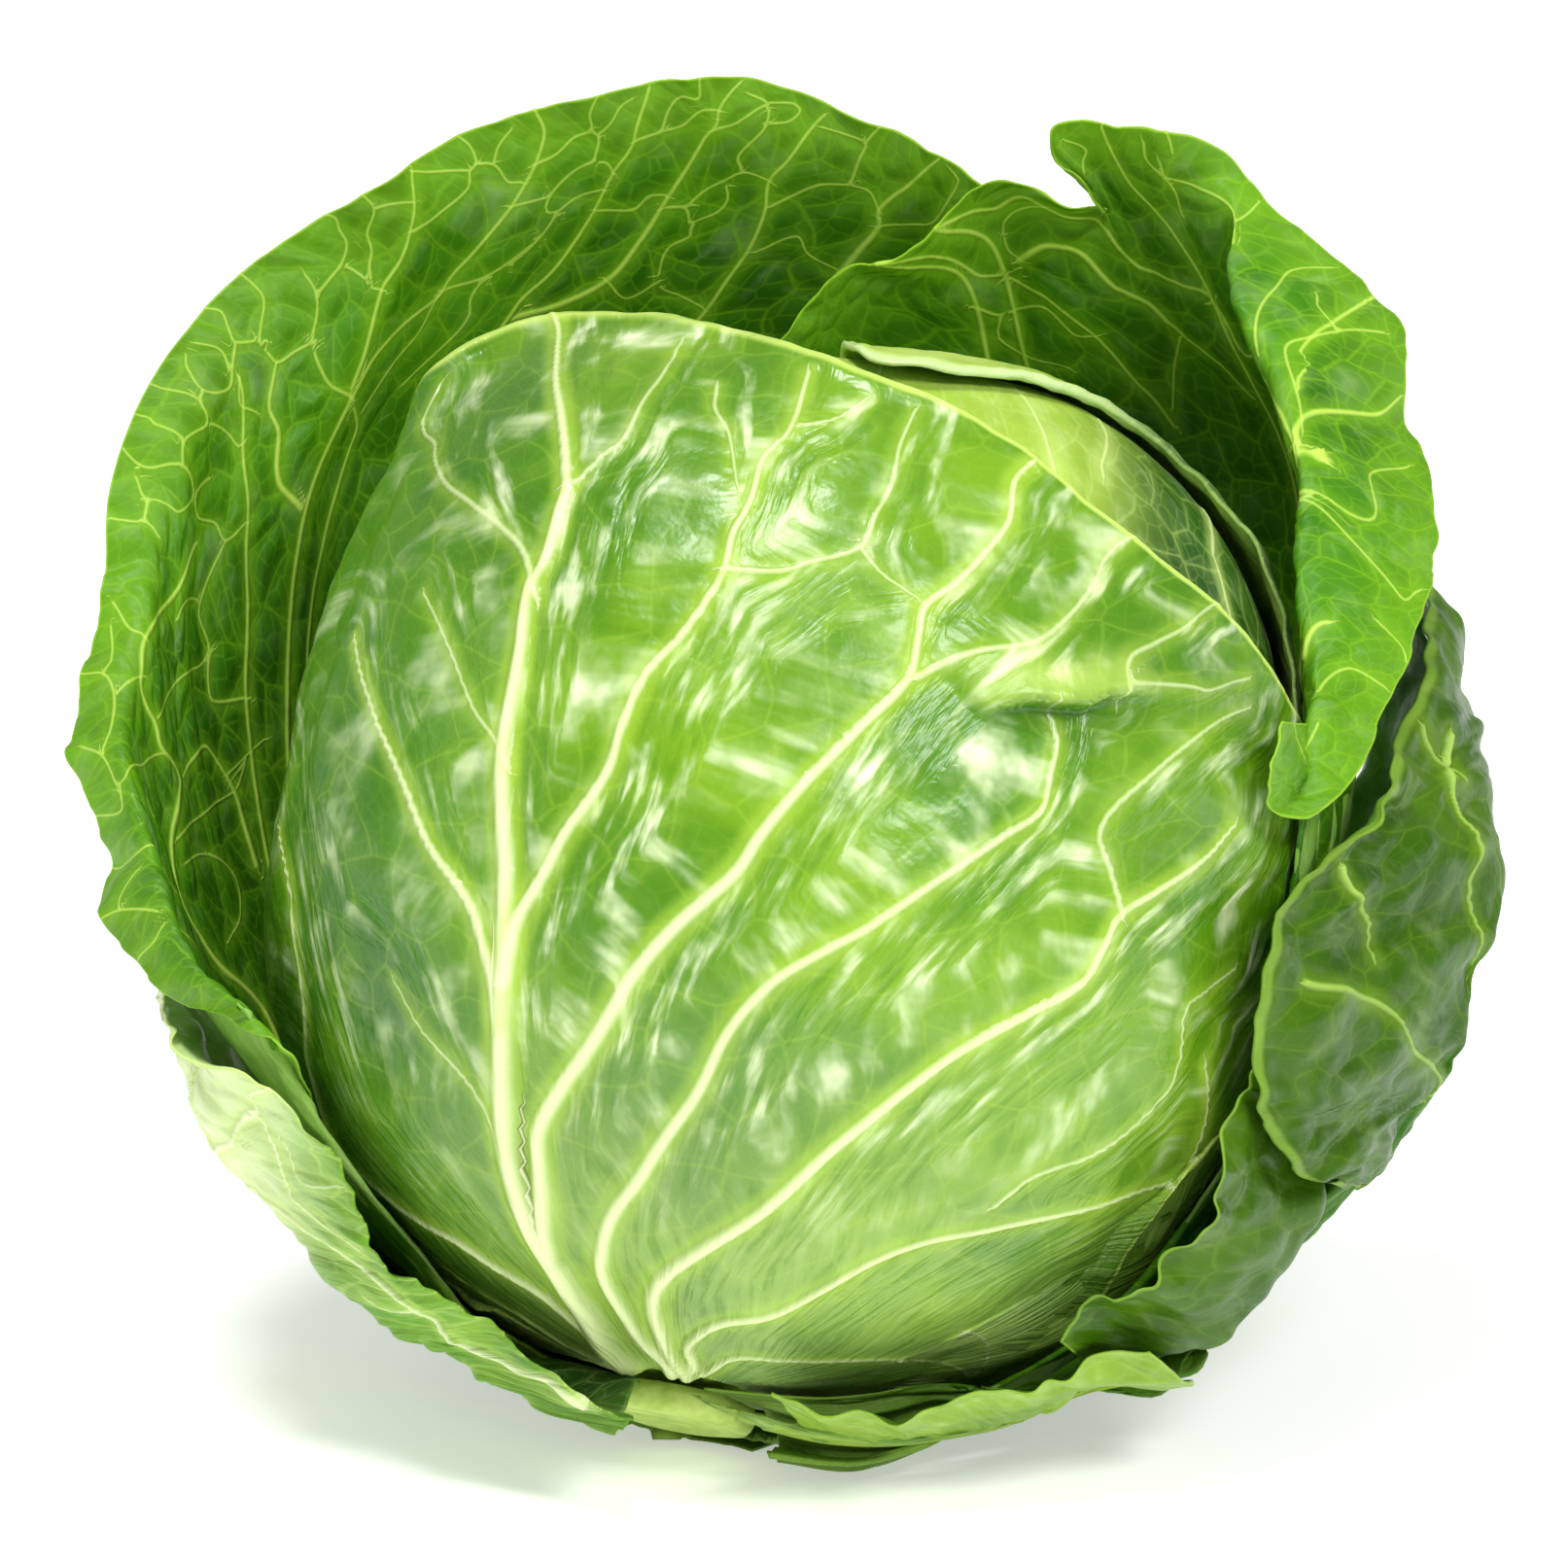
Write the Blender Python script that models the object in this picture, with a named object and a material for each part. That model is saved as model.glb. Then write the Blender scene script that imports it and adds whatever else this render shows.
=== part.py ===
"""A picked green cabbage: dense head, cut stem and loose wrapper leaves, resting on a flat spot.

Each leaf is a thin closed blade. Its outline is a curve through a few chosen points, and rows between
the stem and that outline follow the head and then flare away from it. Leaves are built from the inside
out, and each one is kept clear of what lies inside it.
"""
import math
import random

import bmesh
import bpy
import numpy as np
from mathutils import Vector
from mathutils.bvhtree import BVHTree

MM = 0.001

# Driving sizes in millimetres
HEAD_RADIUS = 76.0          # heart, across the stem's axis
HEAD_POLAR_RADIUS = 81.0    # heart, along the stem's axis
HEAD_SQUARENESS = 2.35      # 2 is an ellipsoid, more has fuller shoulders
CROWN_SQUARENESS = 0.3      # the crown is fuller by this, the stem end rounder
STEM_RADIUS = 12.0
STEM_END = 87.5             # cut face, from the head's centre
STEM_TOP = 83.0             # where the stem meets the heart
COLLAR_POLAR = 10.5         # degrees from the stem's axis where the leaf bases stand
BLADE = 0.7                 # thickness of every leaf
LEAF_GAP = 1.15             # between a leaf's middle and the surface inside it
SPREAD = (2.4, 4.6)         # degrees that the inner pieces are widened by, for that gap
RING_RAYS = 8               # directions looked along at each of them
OUTSIDE = 300.0             # from the head's centre, clear of every leaf
FLOOR_STEP = 1.3            # each leaf further out lies this much lower at the floor
HEART_FLOOR = 6.6           # underside of the heart
HEART_RINGS = 18
HEART_SIDES = 34
STEM_SIDES = 20
STEM_NECK = 11.5            # the stem's radius where it meets the heart
STEM_BEVEL = (2.0, 1.2)     # along the stem and across it, at the cut face
HUG_ROWS = 7                # rows of a leaf between the collar and its first chosen row
KNOT_POWER = 0.75           # share of the spacing of chosen points that their curve keeps
DEPTHS = (-100.0, 60.0, 1.0)   # from, to and step when the head's near side is looked for

# The head's centre over the middle of the object's footprint
HEAD_CENTRE = (-0.2, -11.6, 84.8)

# Directions in which the object is described: x to the right, z up, away from the viewer
VIEW_TILT = 14.0            # degrees that the view looks down
VIEW_DISTANCE = 1300.0
VIEW_AIM = 13.8             # the view's middle, above the head's centre
STEM_DIRECTION = (-0.19, -0.20, -0.961)   # x, away, z

TILT = math.radians(VIEW_TILT)
RIGHT = np.array([1.0, 0.0, 0.0])
UP = np.array([0.0, math.sin(TILT), math.cos(TILT)])
AWAY = np.array([0.0, math.cos(TILT), -math.sin(TILT)])


def unit(v):
    return v / np.linalg.norm(v)


def view_vector(x, away, z):
    return x * RIGHT + away * AWAY + z * UP


STEM_AXIS = unit(view_vector(*STEM_DIRECTION))
FRONT = unit(-AWAY - np.dot(-AWAY, STEM_AXIS) * STEM_AXIS)
SIDE = unit(np.cross(FRONT, STEM_AXIS))
SIDE = SIDE if SIDE[0] > 0 else -SIDE


def head_radius(direction):
    """Radius of the heart in a direction from its centre."""
    along = np.dot(direction, STEM_AXIS)
    across = math.sqrt(max(0.0, 1.0 - along * along))
    n = HEAD_SQUARENESS - CROWN_SQUARENESS * along
    return ((abs(along) / HEAD_POLAR_RADIUS) ** n + (across / HEAD_RADIUS) ** n) ** (-1.0 / n)


def seen(x, z, away):
    """A point seen x right of and z above the head's centre, and so far behind it."""
    k = (VIEW_DISTANCE + away) / VIEW_DISTANCE
    return view_vector(x * k, away, VIEW_AIM + (z - VIEW_AIM) * k)


def on_head(x, z, off=0.0):
    """The point of the head's near side seen at x, z, or the nearest rim point outside its outline."""
    best = None
    for away in np.arange(*DEPTHS):
        p = seen(x, z, away)
        r = np.linalg.norm(p)
        excess = r - head_radius(p / r) - off
        if excess <= 0.0:
            return p
        if best is None or excess < best[0]:
            best = (excess, p)
    return best[1]


def around(azimuth, polar, off=0.0):
    """A point off the head: azimuth from the front to the right, polar from the stem, in degrees."""
    a, t = math.radians(azimuth), math.radians(polar)
    d = math.cos(t) * STEM_AXIS + math.sin(t) * (math.cos(a) * FRONT + math.sin(a) * SIDE)
    return d * (head_radius(d) + off)


def smooth_rows(points, knots, samples):
    """Catmull-Rom curve through points (k, ...) given at knots, read at samples."""
    points = np.asarray(points, float)
    slopes = np.empty_like(points)
    slopes[0] = (points[1] - points[0]) / (knots[1] - knots[0])
    slopes[-1] = (points[-1] - points[-2]) / (knots[-1] - knots[-2])
    for i in range(1, len(points) - 1):
        slopes[i] = (points[i + 1] - points[i - 1]) / (knots[i + 1] - knots[i - 1])
    out = []
    for s in samples:
        i = int(np.clip(np.searchsorted(knots, s) - 1, 0, len(points) - 2))
        h = knots[i + 1] - knots[i]
        u = (s - knots[i]) / h
        out.append((2 * u ** 3 - 3 * u ** 2 + 1) * points[i] + (u ** 3 - 2 * u ** 2 + u) * h * slopes[i]
                   + (3 * u ** 2 - 2 * u ** 3) * points[i + 1] + (u ** 3 - u ** 2) * h * slopes[i + 1])
    return np.array(out)


def chord_knots(row):
    steps = np.linalg.norm(np.diff(np.array(row), axis=0), axis=1) ** KNOT_POWER
    knots = np.concatenate([[0.0], np.cumsum(steps)])
    return knots / knots[-1]


def slerp(a, b, t):
    angle = math.acos(float(np.clip(np.dot(a, b), -1.0, 1.0)))
    if angle < 1e-6:
        return a
    return (math.sin((1 - t) * angle) * a + math.sin(t * angle) * b) / math.sin(angle)


def body_rows(leaf, first_row, knots):
    """Rows from the collar round the stem to the leaf's first chosen row."""
    start, end = leaf["azimuths"]
    rows = []
    for j in range(HUG_ROWS):
        f = j / HUG_ROWS
        row = []
        for s, target in zip(knots, first_row):
            base = unit(around(start + (end - start) * s, COLLAR_POLAR))
            reach = np.linalg.norm(target)
            goal = target / reach
            d = slerp(base, goal, f)
            lift = max(0.0, (f - leaf["leaves_head"]) / (1.0 - leaf["leaves_head"])) ** leaf["flare"]
            stand = leaf["layer"] * (BLADE + LEAF_GAP) / 2
            row.append(d * (head_radius(d) + stand + (reach - head_radius(goal) - stand) * lift))
        rows.append(row)
    return rows


def leaf_grid(leaf):
    """The middle surface of a leaf as a grid: rows from stem to margin, columns along the margin."""
    chosen = leaf["rows"]
    knots = chord_knots(chosen[-1])
    rows = np.array(body_rows(leaf, chosen[0], knots) + [list(r) for r in chosen])
    columns = np.linspace(0.0, 1.0, leaf["columns"])
    wide = np.swapaxes(smooth_rows(np.swapaxes(rows, 0, 1), knots, columns), 0, 1)
    gaps = np.linalg.norm(np.diff(rows, axis=0), axis=2).mean(axis=1) ** leaf["even"]
    heights = np.concatenate([[0.0], np.cumsum(gaps)])
    heights /= heights[-1]
    levels = np.linspace(0.0, 1.0, leaf["levels"])
    return smooth_rows(wide, heights, levels)


def grid_normals(grid):
    along = np.gradient(grid, axis=1)
    across = np.gradient(grid, axis=0)
    normals = np.cross(along, across)
    normals /= np.maximum(np.linalg.norm(normals, axis=2, keepdims=True), 1e-9)
    outward = np.sum(normals * grid) > 0
    return normals if outward else -normals


def wave_margin(grid, leaf):
    """Add the leaf's own waves, which grow towards its margin."""
    rng = random.Random(leaf["seed"])
    levels, columns = grid.shape[:2]
    s = np.linspace(0.0, 1.0, columns)
    wave = np.zeros(columns)
    for count, share in leaf["waves"]:
        wave += share * np.sin(2 * math.pi * (count * s + rng.random()))
    rise = np.linspace(0.0, 1.0, levels) ** 3
    return grid + grid_normals(grid) * (rise[:, None] * wave[None, :])[:, :, None]


def cone(direction):
    """The direction and two rings of eight about it."""
    side = unit(np.cross(direction, STEM_AXIS + 0.01 * RIGHT))
    other = np.cross(direction, side)
    yield direction
    for degrees in SPREAD:
        spread = math.tan(math.radians(degrees))
        for k in range(RING_RAYS):
            a = 2 * math.pi * k / RING_RAYS
            yield unit(direction + spread * (math.cos(a) * side + math.sin(a) * other))


def between(grid):
    """The grid with the middles of its edges and cells added."""
    levels, columns = grid.shape[:2]
    fine = np.empty((2 * levels - 1, 2 * columns - 1, 3))
    fine[::2, ::2] = grid
    fine[1::2, ::2] = (grid[1:] + grid[:-1]) / 2
    fine[:, 1::2] = (fine[:, 2::2] + fine[:, :-2:2]) / 2
    return fine


def shortfall(points, inner, rays_about):
    """How far each point must move out to be clear of what lies inside it."""
    lack = np.zeros(points.shape[:2])
    for i, j in np.ndindex(lack.shape):
        reach = np.linalg.norm(points[i, j])
        for ray in rays_about(points[i, j] / reach):
            hit = inner.ray_cast(Vector(ray * OUTSIDE), Vector(-ray))
            if hit[0] is not None:
                lack[i, j] = max(lack[i, j], np.linalg.norm(hit[0]) + LEAF_GAP - reach)
    return lack


def moved_out(grid, lift):
    return grid * (1.0 + lift / np.linalg.norm(grid, axis=2))[:, :, None]


def clear_of(grid, inner):
    """Push a leaf outwards until it is clear of everything inside it, also between its points."""
    grid = moved_out(grid, shortfall(grid, inner, cone))
    for rays_about in (cone, lambda direction: [direction]):
        lack = np.pad(shortfall(between(grid), inner, rays_about), 1)
        levels, columns = grid.shape[:2]
        lift = np.zeros((levels, columns))
        for i in range(3):
            for j in range(3):
                lift = np.maximum(lift, lack[i:i + 2 * levels - 1:2, j:j + 2 * columns - 1:2])
        grid = moved_out(grid, lift)
    return grid


def rest_on_floor(points, height):
    """Flatten what would go below a height over the floor."""
    out = points.copy()
    out[..., 2] = np.maximum(out[..., 2], height - HEAD_CENTRE[2])
    return out


def blade_mesh(leaf, grid):
    """Both faces of a blade and its edge, in the same triangles on both sides."""
    normals = grid_normals(grid)
    floor = leaf["floor"] * FLOOR_STEP
    outer = rest_on_floor(grid + normals * BLADE / 2, floor)
    inner = rest_on_floor(grid - normals * BLADE / 2, floor + BLADE)
    levels, columns = grid.shape[:2]
    count = levels * columns
    verts = [tuple(p) for p in outer.reshape(-1, 3)] + [tuple(p) for p in inner.reshape(-1, 3)]
    faces = []
    for i in range(levels - 1):
        for j in range(columns - 1):
            a, b = i * columns + j, i * columns + j + 1
            c, d = a + columns, b + columns
            faces += [(a, b, d), (a, d, c)]
            faces += [(a + count, d + count, b + count), (a + count, c + count, d + count)]
    rim = [j for j in range(columns)]
    rim += [i * columns + columns - 1 for i in range(1, levels)]
    rim += [(levels - 1) * columns + j for j in range(columns - 2, -1, -1)]
    rim += [i * columns for i in range(levels - 2, 0, -1)]
    for a, b in zip(rim, rim[1:] + rim[:1]):
        faces += [(a, a + count, b + count), (a, b + count, b)]
    return verts, faces


def add_object(name, verts, faces, material, smooth=True):
    mesh = bpy.data.meshes.new(name)
    mesh.from_pydata([tuple((np.array(v) + HEAD_CENTRE) * MM) for v in verts], [], faces)
    shape = bmesh.new()
    shape.from_mesh(mesh)
    bmesh.ops.recalc_face_normals(shape, faces=shape.faces)
    shape.to_mesh(mesh)
    shape.free()
    if smooth:
        mesh.shade_smooth()
    mesh.materials.append(material)
    piece = bpy.data.objects.new(name, mesh)
    bpy.context.scene.collection.objects.link(piece)
    return piece


def leaf_material(name, colour, roughness=0.42):
    material = bpy.data.materials.new(name)
    material.use_nodes = True
    shader = material.node_tree.nodes["Principled BSDF"]
    shader.inputs["Base Color"].default_value = (*colour, 1.0)
    shader.inputs["Roughness"].default_value = roughness
    shader.inputs["Metallic"].default_value = 0.0
    return material


def heart_mesh(rings=HEART_RINGS, sides=HEART_SIDES):
    """The packed heart, closed at its crown and at the stem."""
    verts = [tuple(around(0.0, 0.0))]
    faces = []
    for i in range(1, rings):
        polar = 180.0 * i / rings
        for j in range(sides):
            verts.append(tuple(around(360.0 * j / sides, polar)))
    verts.append(tuple(around(0.0, 180.0)))
    last = len(verts) - 1
    for j in range(sides):
        k = (j + 1) % sides
        faces.append((0, 1 + k, 1 + j))
        faces.append((last, last - sides + j, last - sides + k))
        for i in range(rings - 2):
            a, b = 1 + i * sides + j, 1 + i * sides + k
            faces += [(a, b, b + sides), (a, b + sides, a + sides)]
    return rest_on_floor(np.array(verts), HEART_FLOOR), faces


def stem_mesh(sides=STEM_SIDES):
    """The stem: a short round post with a bevelled cut end."""
    verts = []
    faces = []
    bevel, inset = STEM_BEVEL
    profile = [(STEM_TOP, STEM_NECK), (STEM_END - bevel, STEM_RADIUS), (STEM_END, STEM_RADIUS - inset)]
    for height, radius in profile:
        for j in range(sides):
            a = 2 * math.pi * j / sides
            verts.append(tuple(STEM_AXIS * height + radius * (math.cos(a) * FRONT + math.sin(a) * SIDE)))
    for i in range(len(profile) - 1):
        for j in range(sides):
            k = (j + 1) % sides
            faces.append((i * sides + j, i * sides + k, (i + 1) * sides + k, (i + 1) * sides + j))
    faces.append(tuple(range(sides)))
    faces.append(tuple((len(profile) - 1) * sides + j for j in range(sides)))
    return verts, faces


def row(*points):
    return [seen(*p) for p in points]


def front_cover():
    """The leaf over the front: hidden left margin, rolled top rim, free lower right margin."""
    outline = [around(-74, 24, 3), around(-108, 48, 3), around(-130, 74, 3), around(-134, 100, 3),
               around(-124, 122, 3)]
    outline += [on_head(x, z, 4) for x, z in
                ((-57, 71), (-51, 80), (-37, 85), (-21, 86), (-5, 83), (13, 76), (32, 68), (50, 54), (67, 41),
                 (77, 27))]
    outline += [around(92, 96, 4), around(95, 80, 4)]
    outline += [on_head(x, z, 5) for x, z in
                ((78, -30), (66, -42), (54, -58), (43, -73), (27, -82), (8, -84))]
    return outline


LEAVES = [
    {"name": "cover_leaf_rolled", "even": 1.0, "layer": 1, "floor": 3.9, "azimuths": (95, 200),
     "leaves_head": 0.8, "flare": 1.0, "columns": 23, "levels": 14, "seed": 3, "waves": ((4, 0.8), (7, 0.4)),
     "colour": (0.42, 0.62, 0.16),
     "rows": [[around(azimuth, polar, 2) for azimuth, polar in
               ((82, 36), (86, 52), (92, 70), (102, 84), (115, 92), (128, 96), (143, 98), (158, 98),
                (172, 96), (186, 90), (198, 76), (206, 56))],
              [around(azimuth, polar, 2) for azimuth, polar in
               ((81, 37), (82, 56), (86, 76), (97, 106), (110, 119), (124, 129), (142, 135), (158, 139),
                (176, 128), (192, 110), (202, 84), (206, 58))],
              [around(80, 38, 2), around(76, 58, 2), around(74, 80, 2), on_head(80, 47, 3),
               on_head(70, 58, 3), on_head(52, 71, 3), on_head(31, 77, 3), on_head(12, 78, 3),
               around(-170, 150, 2), around(-158, 120, 2), around(-154, 90, 2), around(-153, 60, 2)]]},
    {"name": "cover_leaf_front", "even": 0.7, "layer": 2, "floor": 4.5, "azimuths": (-62, 48),
     "leaves_head": 0.9, "flare": 1.0, "columns": 33, "levels": 13, "seed": 5, "waves": ((5, 0.7), (9, 0.5)),
     "colour": (0.50, 0.68, 0.25), "rows": [front_cover()]},
    {"name": "wrapper_right", "even": 0.7, "layer": 3, "floor": 2.6, "azimuths": (200, 112),
     "leaves_head": 0.45, "flare": 1.5, "columns": 37, "levels": 14, "seed": 7, "waves": ((6, 1.2), (11, 0.8)),
     "colour": (0.10, 0.24, 0.03),
     "rows": [row((-7, 59, 66), (8, 79, 62), (19, 85, 58), (27, 88, 56), (36, 95, 52), (42, 95, 50),
                  (47, 94, 48), (50, 94, 46), (52, 96, 44), (53, 99, 42), (57, 100, 40), (62, 99, 36),
                  (68, 97, 22), (69, 88, 10), (74, 80, 4), (78, 70, 0), (80, 62, -6), (80, 49, -12),
                  (82, 37, -16), (82, 29, -22), (81, 22, -26), (80, 15, -24), (82, 12, -12), (84, 18, 4)),
              row((-10, 70, 64), (0, 84, 56), (9, 92, 50), (20, 96, 46), (33, 107, 42), (41, 105, 40),
                  (48, 103, 39), (49, 101, 38), (45, 108, 34), (40, 114, 30), (52, 116, 30),
                  (62, 114, 28), (72, 108, 26), (80, 98, 26), (92, 87, 24), (96, 74, 20), (100, 62, 14),
                  (100, 48, 4), (97, 36, -6), (93, 24, -17), (87, 13, -28), (79, 7, -38), (73, 13, -44),
                  (76, 22, -40))]},
    {"name": "wrapper_left", "even": 0.7, "layer": 4, "floor": 1.4, "azimuths": (-76, -205),
     "leaves_head": 0.45, "flare": 1.5, "columns": 41, "levels": 14, "seed": 11, "waves": ((7, 1.2), (13, 0.8)),
     "colour": (0.08, 0.20, 0.02),
     "rows": [row((-78, -46, 4), (-78, -38, -12), (-78, -32, -26), (-79, -26, -38), (-85, -20, -40),
                  (-92, -14, -34), (-96, -5, -26), (-99, 6, -14), (-102, 18, -2), (-101, 31, 10),
                  (-98, 43, 18), (-96, 56, 26), (-90, 70, 33), (-79, 82, 41), (-65, 92, 46),
                  (-50, 101, 52), (-36, 106, 57), (-22, 110, 60), (-10, 111, 62), (4, 106, 64),
                  (17, 102, 65), (26, 96, 66), (34, 85, 68), (38, 71, 72)),
              row((-73, -50, -6), (-73, -42, -22), (-74, -35, -34), (-76, -27, -42), (-91, -21, -34),
                  (-100, -14, -24), (-105, -6, -14), (-106, 7, -4), (-109, 18, 6), (-108, 31, 14),
                  (-105, 44, 20), (-104, 59, 26), (-98, 75, 32), (-86, 90, 38), (-71, 101, 42),
                  (-54, 111, 48), (-39, 117, 52), (-23, 121, 55), (-10, 123, 57), (6, 118, 58),
                  (20, 113, 58), (31, 106, 58), (41, 95, 60), (47, 80, 64))]},
    {"name": "leaf_lower_right", "even": 0.7, "layer": 4, "floor": 2.6, "azimuths": (78, 12),
     "leaves_head": 0.5, "flare": 1.3, "columns": 15, "levels": 10, "seed": 13, "waves": ((4, 0.7),),
     "colour": (0.22, 0.40, 0.08),
     "rows": [row((84, -38, -8), (81, -46, -18), (81, -53, -20), (75, -64, -22), (67, -72, -22),
                  (57, -74, -24), (46, -77, -26)),
              row((76, -28, -36), (69, -36, -42), (67, -48, -46), (64, -56, -48), (58, -63, -47),
                  (51, -66, -47), (43, -73, -46))]},
    {"name": "leaf_lower_left", "even": 0.7, "layer": 5, "floor": 0.6, "azimuths": (-128, -24),
     "leaves_head": 0.45, "flare": 1.3, "columns": 25, "levels": 11, "seed": 17, "waves": ((5, 0.8),),
     "colour": (0.45, 0.60, 0.32),
     "rows": [row((-84, 2, 58), (-93, -14, 24), (-94, -26, 5), (-91, -37, -2), (-85, -47, -7),
                  (-76, -56, -12), (-66, -66, -18), (-56, -73, -22), (-46, -78, -28), (-35, -83, -33),
                  (-26, -86, -38)),
              row((-85, 10, 54), (-94, -8, 16), (-90, -20, -22), (-77, -31, -41), (-70, -43, -44),
                  (-66, -53, -41), (-60, -61, -40), (-51, -67, -42), (-42, -74, -45), (-32, -80, -48),
                  (-23, -84, -50))]},
    {"name": "leaf_bottom", "even": 0.7, "layer": 5, "floor": 1.2, "azimuths": (6, 56),
     "leaves_head": 0.5, "flare": 1.3, "columns": 17, "levels": 9, "seed": 19, "waves": ((4, 0.7),),
     "colour": (0.25, 0.45, 0.10),
     "rows": [row((3, -86, -27), (11, -87, -26), (21, -86, -26), (32, -83, -25), (41, -80, -23),
                  (49, -76, -20), (56, -71, -17)),
              row((-2, -81, -47), (8, -84, -47), (18, -85, -46), (28, -82, -45), (37, -79, -43),
                  (45, -75, -41), (53, -69, -37))]},
    {"name": "wrapper_right_low", "even": 0.7, "layer": 5, "floor": 1.2, "azimuths": (60, 148),
     "leaves_head": 0.3, "flare": 1.3, "columns": 27, "levels": 14, "seed": 23, "waves": ((5, 0.8),),
     "colour": (0.20, 0.42, 0.08),
     "rows": [row((88, -48, 6), (93, -43, 4), (97, -37, 2), (102, -30, 0), (106, -18, 0), (109, -6, 4),
                  (110, 4, 8), (109, 11, 16), (107, 15, 28), (103, 22, 44), (90, 22, 66)),
              row((88, -48, -10), (89, -45, -18), (86, -39, -28), (83, -30, -35), (84, -14, -33),
                  (88, -2, -26), (94, 8, -14), (101, 16, 2), (105, 25, 16), (103, 34, 36), (89, 33, 64)),
              row((85, -48, -22), (79, -47, -34), (74, -38, -43), (72, -25, -46), (75, -10, -44),
                  (80, -2, -36), (89, 9, -22), (95, 22, -4), (99, 35, 12), (98, 45, 36),
                  (87, 42, 62))]},
    {"name": "wrapper_back", "even": 0.7, "layer": 5, "floor": 0.0, "azimuths": (130, 236),
     "leaves_head": 0.62, "flare": 1.7, "columns": 27, "levels": 13, "seed": 29, "waves": ((5, 1.2), (9, 0.7)),
     "colour": (0.16, 0.34, 0.06),
     "rows": [[around(134, 34, 4), around(136, 54, 6), around(141, 76, 9), around(151, 94, 13),
               around(168, 104, 16), around(188, 107, 17), around(207, 102, 16), around(222, 88, 14),
               around(231, 68, 10), around(235, 46, 6)]]},
]


def join_tree(pieces):
    """One search tree over several meshes, in millimetres from the head's centre."""
    verts, faces = [], []
    for piece_verts, piece_faces in pieces:
        start = len(verts)
        verts += [Vector(v) for v in piece_verts]
        faces += [tuple(i + start for i in f) for f in piece_faces]
    return BVHTree.FromPolygons(verts, faces)


def build():
    for old in list(bpy.context.scene.objects):
        bpy.data.objects.remove(old, do_unlink=True)
    heart = heart_mesh()
    add_object("heart", *heart, leaf_material("heart", (0.55, 0.70, 0.30)))
    inside = [heart]
    for leaf in LEAVES:
        grid = clear_of(wave_margin(leaf_grid(leaf), leaf), join_tree(inside))
        mesh = blade_mesh(leaf, grid)
        add_object(leaf["name"], *mesh, leaf_material(leaf["name"], leaf["colour"]))
        inside.append(mesh)
    add_object("stem", *stem_mesh(), leaf_material("stem", (0.62, 0.66, 0.42), 0.6), smooth=False)


build()
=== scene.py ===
"""Looks of a picked green cabbage: every CAD leaf is replaced by a finer blade of the same form.

The control grids of the leaves are worked out as in the CAD source, then read at closely spaced lines.
Ribs, quilting between the veins and waved margins are real relief, and the finest net is in the materials.
"""

import math
import random

import bpy
import numpy as np
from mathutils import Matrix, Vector
from mathutils.bvhtree import BVHTree
from mathutils.kdtree import KDTree


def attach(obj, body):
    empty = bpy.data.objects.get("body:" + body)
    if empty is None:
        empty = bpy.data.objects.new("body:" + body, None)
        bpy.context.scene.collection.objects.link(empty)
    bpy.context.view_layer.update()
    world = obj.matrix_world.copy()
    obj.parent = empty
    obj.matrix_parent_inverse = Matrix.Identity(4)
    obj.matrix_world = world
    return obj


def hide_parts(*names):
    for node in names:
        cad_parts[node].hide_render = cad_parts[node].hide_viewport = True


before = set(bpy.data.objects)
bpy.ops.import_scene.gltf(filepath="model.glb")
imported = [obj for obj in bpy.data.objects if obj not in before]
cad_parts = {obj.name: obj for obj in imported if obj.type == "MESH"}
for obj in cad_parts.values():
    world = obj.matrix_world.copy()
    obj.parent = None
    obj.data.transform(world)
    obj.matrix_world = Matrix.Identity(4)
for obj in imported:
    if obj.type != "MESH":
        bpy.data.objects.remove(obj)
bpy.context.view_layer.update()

MM = 0.001

# Driving sizes in millimetres, as in the CAD source
HEAD_RADIUS = 76.0
HEAD_POLAR_RADIUS = 81.0
HEAD_SQUARENESS = 2.35
CROWN_SQUARENESS = 0.3
STEM_RADIUS = 12.0
STEM_END = 87.5
STEM_TOP = 83.0
COLLAR_POLAR = 10.5
BLADE = 0.7
LEAF_GAP = 1.15
SPREAD = (2.4, 4.6)
RING_RAYS = 8
OUTSIDE = 300.0
FLOOR_STEP = 1.3
HEART_FLOOR = 6.6
HUG_ROWS = 7
KNOT_POWER = 0.75
DEPTHS = (-100.0, 60.0, 1.0)
HEAD_CENTRE = (-0.2, -11.6, 84.8)
VIEW_TILT = 14.0
VIEW_DISTANCE = 1300.0
VIEW_AIM = 13.8
STEM_DIRECTION = (-0.19, -0.20, -0.961)
HEART_RINGS = 18
HEART_SIDES = 34

TILT = math.radians(VIEW_TILT)
RIGHT = np.array([1.0, 0.0, 0.0])
UP = np.array([0.0, math.sin(TILT), math.cos(TILT)])
AWAY = np.array([0.0, math.cos(TILT), -math.sin(TILT)])

# The photograph's scale and the pixel where the head's centre shows
PIXEL = 0.15
CENTRE_PX = (805.0, 895.0)


def unit(v):
    return v / np.linalg.norm(v)


def view_vector(x, away, z):
    return x * RIGHT + away * AWAY + z * UP


STEM_AXIS = unit(view_vector(*STEM_DIRECTION))
FRONT = unit(-AWAY - np.dot(-AWAY, STEM_AXIS) * STEM_AXIS)
SIDE = unit(np.cross(FRONT, STEM_AXIS))
SIDE = SIDE if SIDE[0] > 0 else -SIDE


def head_radius(direction):
    along = np.dot(direction, STEM_AXIS)
    across = math.sqrt(max(0.0, 1.0 - along * along))
    n = HEAD_SQUARENESS - CROWN_SQUARENESS * along
    return ((abs(along) / HEAD_POLAR_RADIUS) ** n + (across / HEAD_RADIUS) ** n) ** (-1.0 / n)


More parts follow.
